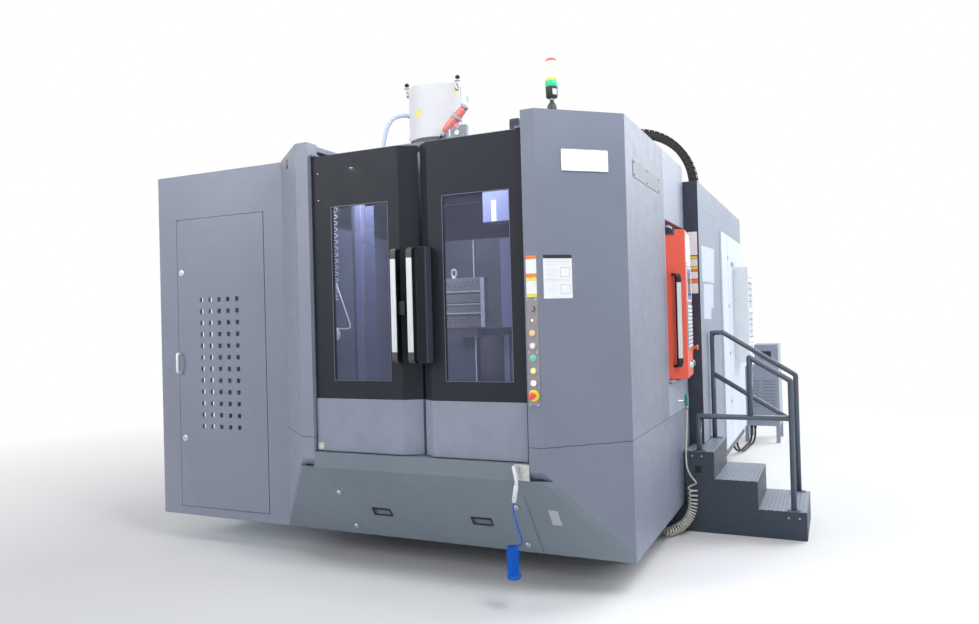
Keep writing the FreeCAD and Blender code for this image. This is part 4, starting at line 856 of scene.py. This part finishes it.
hatch_locks = Piece("hatch_lock_caps", "steel", axes=slope)
for x, y in ((-615, -235), (-620, -50), (574, -233), (562, -44)):
    hatch_locks.turned((x, 0, up_slope(y)), OUT, [(0, 17), (8, 17), (13, 15), (14, 11), (11, 9)])
    hatch_locks.block(x - 2, x + 2, 11, 15, up_slope(y) - 10, up_slope(y) + 10, 0.5)
Piece("slope_label", "label_grey", axes=slope).label(758, 814, up_slope(-158), up_slope(-230), 3, 1)
pull_lips = Piece("hatch_pull_lips", "black_plastic", axes=slope)
for x in (-424, 258):
    pull_lips.gasket(rounded(x - 6, x + 126, up_slope(-125), up_slope(-164), 6),
                     rounded(x + 1, x + 119, up_slope(-132), up_slope(-157), 3), 4, 8)

# ---- roof items

collector = (-573, 1131)
drum_base = Piece("mist_base_ring", "drum_base")
drum_base.turned((*collector, ROOF), UP, [(0, 205), (12, 205), (16, 190), (262, 190), (268, 214), (274, 214),
                                          (276, 200)], 64)
drum = Piece("mist_drum_shell", "drum", stands_for=("mist_collector",))
drum.turned((*collector, 2967), UP, [(0, 234), (3, 235), (400, 235), (404, 237), (416, 237), (422, 230),
                                     (426, 212), (427, 30)], 72)
seam = Piece("mist_drum_seam", "plug_grey")
for angle in (-16, 154):
    x, y = polar(234, angle, collector)
    seam.block(x - 3, x + 3, y - 3, y + 3, 2972, 3366, 2)
clamps = Piece("mist_clamps", "steel")
caps = Piece("mist_clamp_caps", "black_plastic")
for angle in (-152, -26, 90):
    way = Vector((*polar(1, angle), 0))
    place = Vector((*collector, 3345)) + way * 248
    clamps.turned(place, UP, [(0, 7), (70, 7), (72, 5)], 14)
    clamps.turned(place + Vector((0, 0, 50)), UP, [(0, 24), (6, 25), (9, 22)], 16)
    clamps.turned(place - way * 12, way, [(-4, 19), (14, 19), (17, 16), (17, 10), (10, 9)], 16)
    caps.turned(place + Vector((0, 0, 70)), UP, [(0, 14), (3, 18), (14, 18), (21, 14), (25.5, 6)], 16)
for angle in (-140, -20, 100):
    foot = Vector((*polar(232, angle, collector), 2940))
    clamps.turned(foot, UP, [(0, 15), (30, 15), (34, 10), (64, 9), (66, 6)], 16)
    caps.turned(foot + Vector((10, -10, -6)), UP, [(0, 15), (18, 15), (22, 10)], 16)
clamps.turned((-782, 1020, 3184), (-0.66, -0.75, 0.1), [(-26, 17), (8, 17), (12, 15)], 16)


def drum_label(piece, middle, width, low, high, steps=6):
    """A blank label lying on the drum."""
    places = [polar(236, middle + width * (i / steps - 0.5), collector) for i in range(steps + 1)]
    lower, upper = ([piece.mesh.verts.new(at(*place, z)) for place in places] for z in (low, high))
    for i in range(steps):
        piece.mesh.faces.new((lower[i], lower[i + 1], upper[i + 1], upper[i]))


stickers = Piece("drum_stickers", "label_pale_yellow")
drum_label(stickers, -103.5, 18, 3136, 3184)
drum_label(stickers, -27, 8, 3297, 3327)
drum_label(Piece("drum_sticker_teal", "label_teal"), 10, 13, 3268, 3320)

along = Vector((161, 0, 154)).normalized()
sideways = Vector((-154, 0, 161)).normalized()
plug_start = Vector((-346, 780, 2950))
plug = Piece("plug_shell", "plug_red", stands_for=("power_connector",))
plug.turned(plug_start, along, [(0, 24), (14, 30), (46, 35), (60, 36), (150, 36), (158, 33), (215, 30),
                                (224, 26)])
plug.turned(plug_start + along * 96, -sideways, [(10, 22), (56, 20), (64, 20)])
plug_rings = Piece("plug_rings", "plug_grey")
plug_rings.turned(plug_start + along * 132, along, [(0, 40), (4, 43), (16, 43), (22, 40)])
plug_rings.turned(plug_start + along * 226, along, [(0, 29), (18, 29), (24, 26)])
plug_rings.turned(plug_start + along * -28, along, [(0, 22), (6, 25), (26, 25), (30, 22)])
plug_rings.turned(plug_start + along * 96 - sideways * 62, -sideways, [(0, 24), (5, 27), (12, 27), (16, 24)])
Piece("plug_box", "grey_plastic").block(-330, -160, 760, 800, 2694, 2984, 6)
slot = Piece("plug_box_slot", "paper")
slot.block(-300, -288, 756, 760, 2905, 2960, 1)
slot.turned((-236, 760, 2930), FRONT, [(0, 20), (4, 20), (6, 16), (6, 10), (3, 9)], 20)
lead = Piece("plug_lead", "cable")
lead.path([plug_start - along * 20, plug_start - along * 90, plug_start - along * 190 - Vector((0, 0, 30)),
           Vector((-500, 790, 2700))], 9, 12)

light = (810, -130)
mast = Piece("signal_foot", "dark_grip")
mast.turned((*light, ROOF), UP, [(0, 28), (50, 28), (66, 25), (78, 17), (82, 12), (92, 11)], 28)
mast = Piece("signal_collar", "plug_grey")
mast.turned((*light, 2784), UP, [(0, 12), (2, 13.5), (14, 13.5), (16, 12)], 28)
body = Piece("signal_body", "dark_grip", stands_for=("stack_light",))
body.turned((*light, 2798), UP, [(0, 23), (5, 32), (54, 33.5), (58, 35), (61, 35)], 32)
label = Piece("signal_label", "paper")
for turn in range(-62, -17, 9):
    sides = [polar(34.2, angle, light) for angle in (turn, turn + 9)]
    corners = [at(*sides[0], 2812), at(*sides[1], 2812), at(*sides[1], 2844), at(*sides[0], 2844)]
    label.mesh.faces.new([label.mesh.verts.new(corner) for corner in corners])
for name, material, low, high in (("signal_green", "lens_green", 2859, 2893),
                                  ("signal_amber_ring", "lens_amber", 2893, 2907),
                                  ("signal_amber", "lens_cream", 2907, 2949),
                                  ("signal_red_ring", "lens_cream_ring", 2949, 2958),
                                  ("signal_red", "lens_pink", 2958, 3000)):
    lens = Piece(name, material)
    lens.turned((*light, low), UP, [(0, 34), (1.5, 35), (high - low - 1.5, 35), (high - low, 34)], 32)
lens = Piece("signal_top", "lens_red")
lens.turned((*light, 3000), UP, [(0, 34.5), (8, 33), (17, 27), (22, 17), (24, 1)], 32)

links = Piece("carrier_links", "black_plastic", stands_for=("cable_carrier",))
LINKS = 34
for i in range(LINKS):
    turn = Matrix.Rotation(math.pi / 2 - math.pi * (i + 0.5) / LINKS, 4, "Y")
    axes = WORLD @ Matrix.Translation((760, 2010, 2589)) @ turn
    for y in (-50, 38):
        links.block(-20, 20, y, y + 12, 434, 498, 3, axes)
    links.block(-9, 9, -50, 50, 488, 496, 2, axes)
    links.block(-9, 9, -50, 50, 436, 443, 2, axes)
for index, (radius, y) in enumerate(((462, 1990), (470, 2012), (458, 2030))):
    bend = [polar(radius, angle, (760, 2589)) for angle in range(0, 181, 12)]
    Piece(f"carrier_cable_{index}", "cable_yellow").path([(x, y, z) for x, z in bend], 8, 10, 0.45)
Piece("roof_cover", "slate").block(430, 500, 140, 220, ROOF, 2800, 18)

# The closing sheet uses the lighter copy of the cover paint, with its painted light.
closing = Piece("roof_closing_sheet", "front_grey_painted_light")
closing.block(-1125, 1150, 1741, 1744, 2592, 2692, 1)
closing.block(-1125, 250, 1744, 1786, 2590, 2593, 1)
closing.block(-1127, -1124, 1741, 1786, 340, 2592, 1)

# ---- rear side

rear_side = face_frame((1286, 0, 0), (0, 1))
sheets = Piece("rear_papers", "sheet_paper", axes=rear_side)
sheets.sheet([(1905, 1824), (2525, 1831), (2572, 2122), (1893, 2102)], 1.2)
sheets.sheet([(1930, 1534), (2306, 1525), (2322, 1615), (2447, 1616), (2472, 1818), (1952, 1806)], 1.2)
Piece("paper_clip", "zinc", axes=rear_side).block(2230, 2290, 1, 5, 1808, 1836, 1)
rear_lines = Piece("rear_seams", "grey_plastic", axes=rear_side)
rear_lines.block(1950, 2925, -1, 0.8, 2392, 2395, 0)
rear_lines.block(2172, 2425, -1, 1.5, 888, 1027, 0.5)
shell_lines = Piece("rear_shell_seams", "grey_plastic")
for y in (2722, 3661):
    shell_lines.block(-1130.8, -1129, y, y + 3, 345, 2588, 0)
    shell_lines.block(-1128, 1284, y, y + 3, 2588, 2589.8, 0)
for x in (-325, 480):
    shell_lines.block(x, x + 3, 4599, 4600.8, 345, 2588, 0)
    shell_lines.block(x, x + 3, 2725, 4598, 2588, 2589.8, 0)
shell_screws = Piece("rear_shell_screws", "zinc")
for z in (380, 1465, 2550):
    for x in (-1095, -360, -290, 445, 515, 1250):
        shell_screws.screw((x, 4600, z), OUT, 7, 4)
    for y in (1825, 2685, 2760, 3625, 3700, 4560):
        shell_screws.screw((-1130, y, z), LEFT, 7, 4)
rear_front = face_frame((1160, 1783, 0), (1, 0))
stickers = labels("rear_sticker_white", "paper", rear_front, 1, ((44, 112, 1936, 1992), (52, 112, 1842, 1894),
                                                                 (52, 112, 1730, 1806)))
stickers.label(44, 114, 2022, 2200, 3, 1)
labels("rear_sticker_yellow", "label_yellow", rear_front, 1.2, ((44, 112, 1996, 2014), (44, 112, 1912, 1932)))
labels("rear_sticker_orange", "label_orange", rear_front, 1.2, ((52, 112, 1896, 1908), (52, 112, 1808, 1838)))
cabinet_face = face_frame((1302, 0, 0), (0, 1))
Piece("cabinet_seams", "grey_plastic", axes=cabinet_face).block(3353, 3356, -1, 0.6, 350, 2310, 0)
hinges = Piece("cabinet_hinges", "zinc", axes=cabinet_face)
for z in (720, 1175, 1620, 2075):
    hinges.turned((3340, 4, z), UP, [(0, 5), (2, 6), (34, 6), (36, 5)], 12)
hinges.block(3600, 3700, 0, 22, 2034, 2072, 4)
exchanger_front = face_frame((1302, 3767, 0), (1, 0))
lines = Piece("exchanger_louvres", "grey_plastic", axes=face_frame((1437, 0, 0), (0, 1)))
for low in (1640, 1330):
    for i in range(14):
        lines.block(3830, 4130, -0.5, 1.5, low + i * 18, low + i * 18 + 7, 0.5)
lines.block(3900, 4000, 0, 6, 1180, 1240, 2)
bolts = Piece("exchanger_bolts", "zinc", axes=exchanger_front)
for z in (1130, 1400, 1700, 1980):
    bolts.turned((14, 0, z), OUT, [(0, 5), (3, 5), (4, 3)], 10)

# ---- steps

treads = Piece("step_treads", "tread")
for x0, x1, y1, level in ((1692, 2004, 2149, 193), (1400, 1689, 2149, 386), (1292, 1397, 2149, 579),
                          (1194, 1294, 1779, 579)):
    treads.block(x0, x1, 1468, y1, level - 0.5, level + 2.5, 1)
Piece("step_recess_cover", "black_plastic").block(1264, 1309, 1464.6, 1467, 427, 475, 0.6)
step_bolts = Piece("step_bolts", "zinc")
for x, y, z in ((1886, 1496, 201), (1956, 1496, 201), (1260, 1496, 587), (1328, 1496, 587), (1892, 2120, 201),
                (1962, 2120, 201)):
    step_bolts.turned((x, y, z), UP, [(0, 8), (4, 8), (5, 6)], 6)
for x, z in ((1886, 150), (1956, 150), (1246, 546), (1312, 546)):
    step_bolts.turned((x, 1466, z), FRONT, [(0, 7), (1, 7), (1, 5), (3.5, 5), (4, 4)], 12)
step_marks = Piece("step_fold_lines", "rubber")
step_marks.block(1868, 1974, 1465, 1466.5, 130, 132, 0.3)
step_marks.block(1868, 1870, 1465, 1466.5, 130, 190, 0.3)
step_marks.turned((1709, 1466.5, 150), FRONT, [(0, 6), (1, 6)], 14)
rails = Piece("welded_rails", "rail", stands_for=("handrails",))
NEAR, FAR = 1496, 2120
for corners in (
    [(1921, NEAR, 193), (1921, NEAR, 1094), (1654, NEAR, 1257), (1654, NEAR, 832)],
    [(1905, NEAR, 832), (1294, NEAR, 832), (1294, NEAR, 579)],
    [(1927, FAR, 193), (1927, FAR, 1086), (1400, FAR, 1419), (1316, FAR, 1419), (1316, FAR, 579)],
    [(1322, FAR, 1090), (1915, FAR, 720)],
):
    rails.path(corners, 19, 18, 0.02)
for x, y, z in ((1921, NEAR, 193), (1294, NEAR, 579), (1927, FAR, 193), (1331, FAR, 579)):
    rails.block(x - 45, x + 45, y - 28, y + 28, z, z + 8, 1.5)

# ---- guns and gun plate

gun = Piece("front_gun_body", "pale_plastic", stands_for=("front_air_gun",))
gun.path([(627, -391, 786), (643, -391, 700), (640, -391, 670)], 10, rounding=0.3)
gun.path([(641, -391, 682), (626, -391, 600)], 12.5)
gun.turned((626, -391, 604), (-0.02, 0, -1), [(0, 9), (4, 10), (14, 10), (16, 6)], 16)
gun_plate = Piece("front_gun_plate", "zinc")
gun_plate.block(618, 705, -361, -357, 701, 788, 1.5)
gun_plate.block(624, 648, -384, -361, 762, 776, 2)
gun_plate.screw((688, -361, 722), FRONT, 6, 5)

gun = Piece("side_gun_body", "teal", stands_for=("side_air_gun",))
gun.turned((1242, 1330, 922), UP, [(0, 10), (8, 14), (60, 15), (76, 11), (88, 6)])
gun = Piece("side_gun_fittings", "brass")
gun.turned((1242, 1330, 896), UP, [(0, 9), (12, 9), (13, 11), (24, 11), (28, 9)], 6)
Piece("side_gun_peg", "steel").turned((1183, 1330, 955), RIGHT, [(0, 12), (4, 12), (6, 7), (50, 7)])
# Painted glow on the wash gun and its bail.
wash_gun = Piece("wash_gun", "painted_glow_white")
wash_gun.turned((-605, -256, 1468), UP, [(0, 12), (6, 23), (24, 30), (48, 30), (66, 22), (80, 9)])
bail = Piece("wash_gun_bail", "painted_glow_white")
bail.path([(-586, -256, 1812), (-494, -256, 1570), (-493, -256, 1544), (-522, -256, 1537),
           (-600, -256, 1542)], 4, rounding=0.3)
# The hose fitting carries a painted glow.
Piece("wash_hose_fitting", "cap_teal_painted_glow").turned((-598, -252, 1812), UP, [(0, 7), (4, 9), (22, 9), (26, 7)])

# ---- cable glands

GLAND = [(0, 24), (5, 24), (7, 19), (46, 14), (48, 12.5)]
glands = Piece("supply_cable_glands", "rubber")
for x in (1250, 1290):
    glands.turned((x, 5640, 202), (0, -10, -80), GLAND, 20)
    glands.turned((x - 100, 4545, 260), (4, 15, -108), GLAND, 20)

# ---- transformer

front = Piece("transformer_louvres", "grey_plastic")
for column in (1215, 1395):
    for i in range(9):
        z = 430 + i * 38
        front.block(column, column + 140, 5557, 5560, z, z + 12, 0.8)
Piece("transformer_meter", "screen_dark").block(1390, 1500, 5556, 5560, 1010, 1100, 1)

# ---- fixture plate, eyebolt

# Painted glow on the eyebolt.
eye = Piece("fixture_eyebolt", "painted_glow_white", "changer_arm")
eye.turned((43, 113, 1834), UP, [(0, 14), (6, 14), (8, 9), (18, 8)])
ring = [(43 + 17 * math.sin(t), 113, 1868 - 22 * math.cos(t)) for t in (math.pi * i / 10 for i in range(21))]
eye.path(ring, 6, 12, 0.3)
# Slot edges: painted highlight.
slots = Piece("fixture_slot_edges", "painted_glow_white", "changer_arm")
for z in (1748, 1670, 1613):
    slots.block(-255, 255, 85, 87.5, z - 3, z + 3, 0.8)
# Painted highlight on the fixture plate's side face and the divider edge.
Piece("fixture_side_edge", "painted_highlight_edge", "changer_arm").block(236, 261, 84.5, 87.5, 1527, 1832, 1)
# Black discs stand in for the holes: painted shade.
holes = Piece("fixture_hole_painted_shade", "black_plastic", "changer_arm")
for row, z in enumerate((1560, 1580, 1785, 1805)):
    for column in range(14):
        holes.turned((-230 + column * 36 + (row % 2) * 18, 87.3, z), FRONT, [(0, 4), (0.8, 4)], 10)
# The cover glows: painted light from the strip.
Piece("lamp_box_cover", "painted_glow_case").block(197, 460, 236.5, 239.5, 2190, 2670, 1)
lamp = Piece("lamp_box_strip", "lamp_strip")
lamp.block(257, 291, 233, 237, 2192, 2324, 1)
# Divider band glows: painted light.
panels = Piece("divider_band", "station_painted_glow", "changer_arm")
panels.block(80, 132, 759, 762.5, 900, 1474, 1)
panels.block(80, 164, 759, 762.5, 1475, 2140, 1)
Piece("divider_edge", "painted_highlight_edge", "changer_arm").block(-133, -124, 758, 762.5, 900, 2140, 1)
# Post cover and its return glow: painted light, they are no lamps.
Piece("lamp_post_cover", "lamp_post").block(-606, -557, -19, -15, 900, 2410, 1)
Piece("lamp_post_return", "lamp_post_side").block(-556, -490, 28, 34, 900, 2330, 1)

for piece in Piece.made:
    piece.place()

# ---- floor, lights, world


def background_rays(tree):
    """1 for the rays that show the background: from the camera, a reflection or clear glass."""
    rays = add_node(tree, "LightPath").outputs
    seen = rays["Is Camera Ray"]
    for name in ("Is Transmission Ray", "Is Glossy Ray"):
        seen = add_node(tree, "Math", {0: seen, 1: rays[name]}, operation="MAXIMUM").outputs[0]
    return seen


floor_mesh = bmesh.new()
bmesh.ops.create_grid(floor_mesh, x_segments=8, y_segments=8, size=40)
floor_data = bpy.data.meshes.new("studio_floor")
floor_mesh.to_mesh(floor_data)
floor_mesh.free()
floor = bpy.data.objects.new("studio_floor", floor_data)
floor.location = (0, 0, -0.0005)
scene.collection.objects.link(floor)
floor_material, tree, shader = new_material("studio_floor")
tone = mix(tree, remap(tree, noise(tree, 0.6, 3), 0, 1), (0.90, 0.90, 0.91), (0.94, 0.94, 0.95))
feed(tree, shader, {"Base Color": tone, "Roughness": 0.7})
where = add_node(tree, "TexCoord").outputs["Object"]
reach = add_node(tree, "VectorMath", {0: where}, operation="LENGTH").outputs["Value"]
shares = {0: remap(tree, reach, 0, 1, 3.0, 9.0), 1: background_rays(tree)}
fade = add_node(tree, "Math", shares, operation="MULTIPLY").outputs[0]
white = add_node(tree, "Emission", {"Color": (1, 1, 1, 1)})
blend = add_node(tree, "MixShader", {0: fade, 1: shader.outputs[0], 2: white.outputs[0]})
feed(tree, tree.nodes["Material Output"], {"Surface": blend.outputs[0]})
floor_data.materials.append(floor_material)


def area_light(name, place, target, size, power, colour=(1, 1, 1)):
    data = bpy.data.lights.new(name, "AREA")
    data.shape = "RECTANGLE"
    data.size, data.size_y = size
    data.energy = power
    data.color = colour
    lamp = bpy.data.objects.new(name, data)
    lamp.location = place
    lamp.rotation_euler = (Vector(target) - Vector(place)).to_track_quat("-Z", "Y").to_euler()
    scene.collection.objects.link(lamp)


area_light("key", (10.0, 11.5, 9.5), (0.8, 0.6, 1.2), (11, 11), 2250, (0.95, 0.98, 1.0))
area_light("fill", (-9.0, -12.0, 7.0), (-0.6, 0.0, 1.4), (6, 5), 700)
area_light("upper", (3.3, -2.5, 5.0), (0.9, -0.5, 2.6), (1.8, 1.8), 125, (0.97, 0.97, 1.0))
area_light("roof", (-1.3, -3.0, 5.2), (-0.4, 0.2, 3.1), (2.2, 1.6), 34, (0.98, 0.98, 1.0))
area_light("station_left", at(-430, -180, 2500), at(-600, -250, 1800), (0.3, 0.1), 5, (0.9, 0.94, 1.0))
area_light("station", at(-20, -40, 2600), at(0, 100, 1400), (0.9, 0.25), 16, (0.82, 0.88, 1.0))

world = bpy.data.worlds.new("studio")
scene.world = world
world.use_nodes = True
tree = world.node_tree
daylight = tree.nodes["Background"]
feed(tree, daylight, {"Color": (0.95, 0.97, 1.0, 1), "Strength": 0.36})
white = add_node(tree, "Background", {"Color": (1, 1, 1, 1), "Strength": 1.0})
blend = add_node(tree, "MixShader", {0: background_rays(tree), 1: daylight.outputs[0], 2: white.outputs[0]})
feed(tree, tree.nodes["World Output"], {"Surface": blend.outputs[0]})
scene.view_settings.view_transform = "Standard"
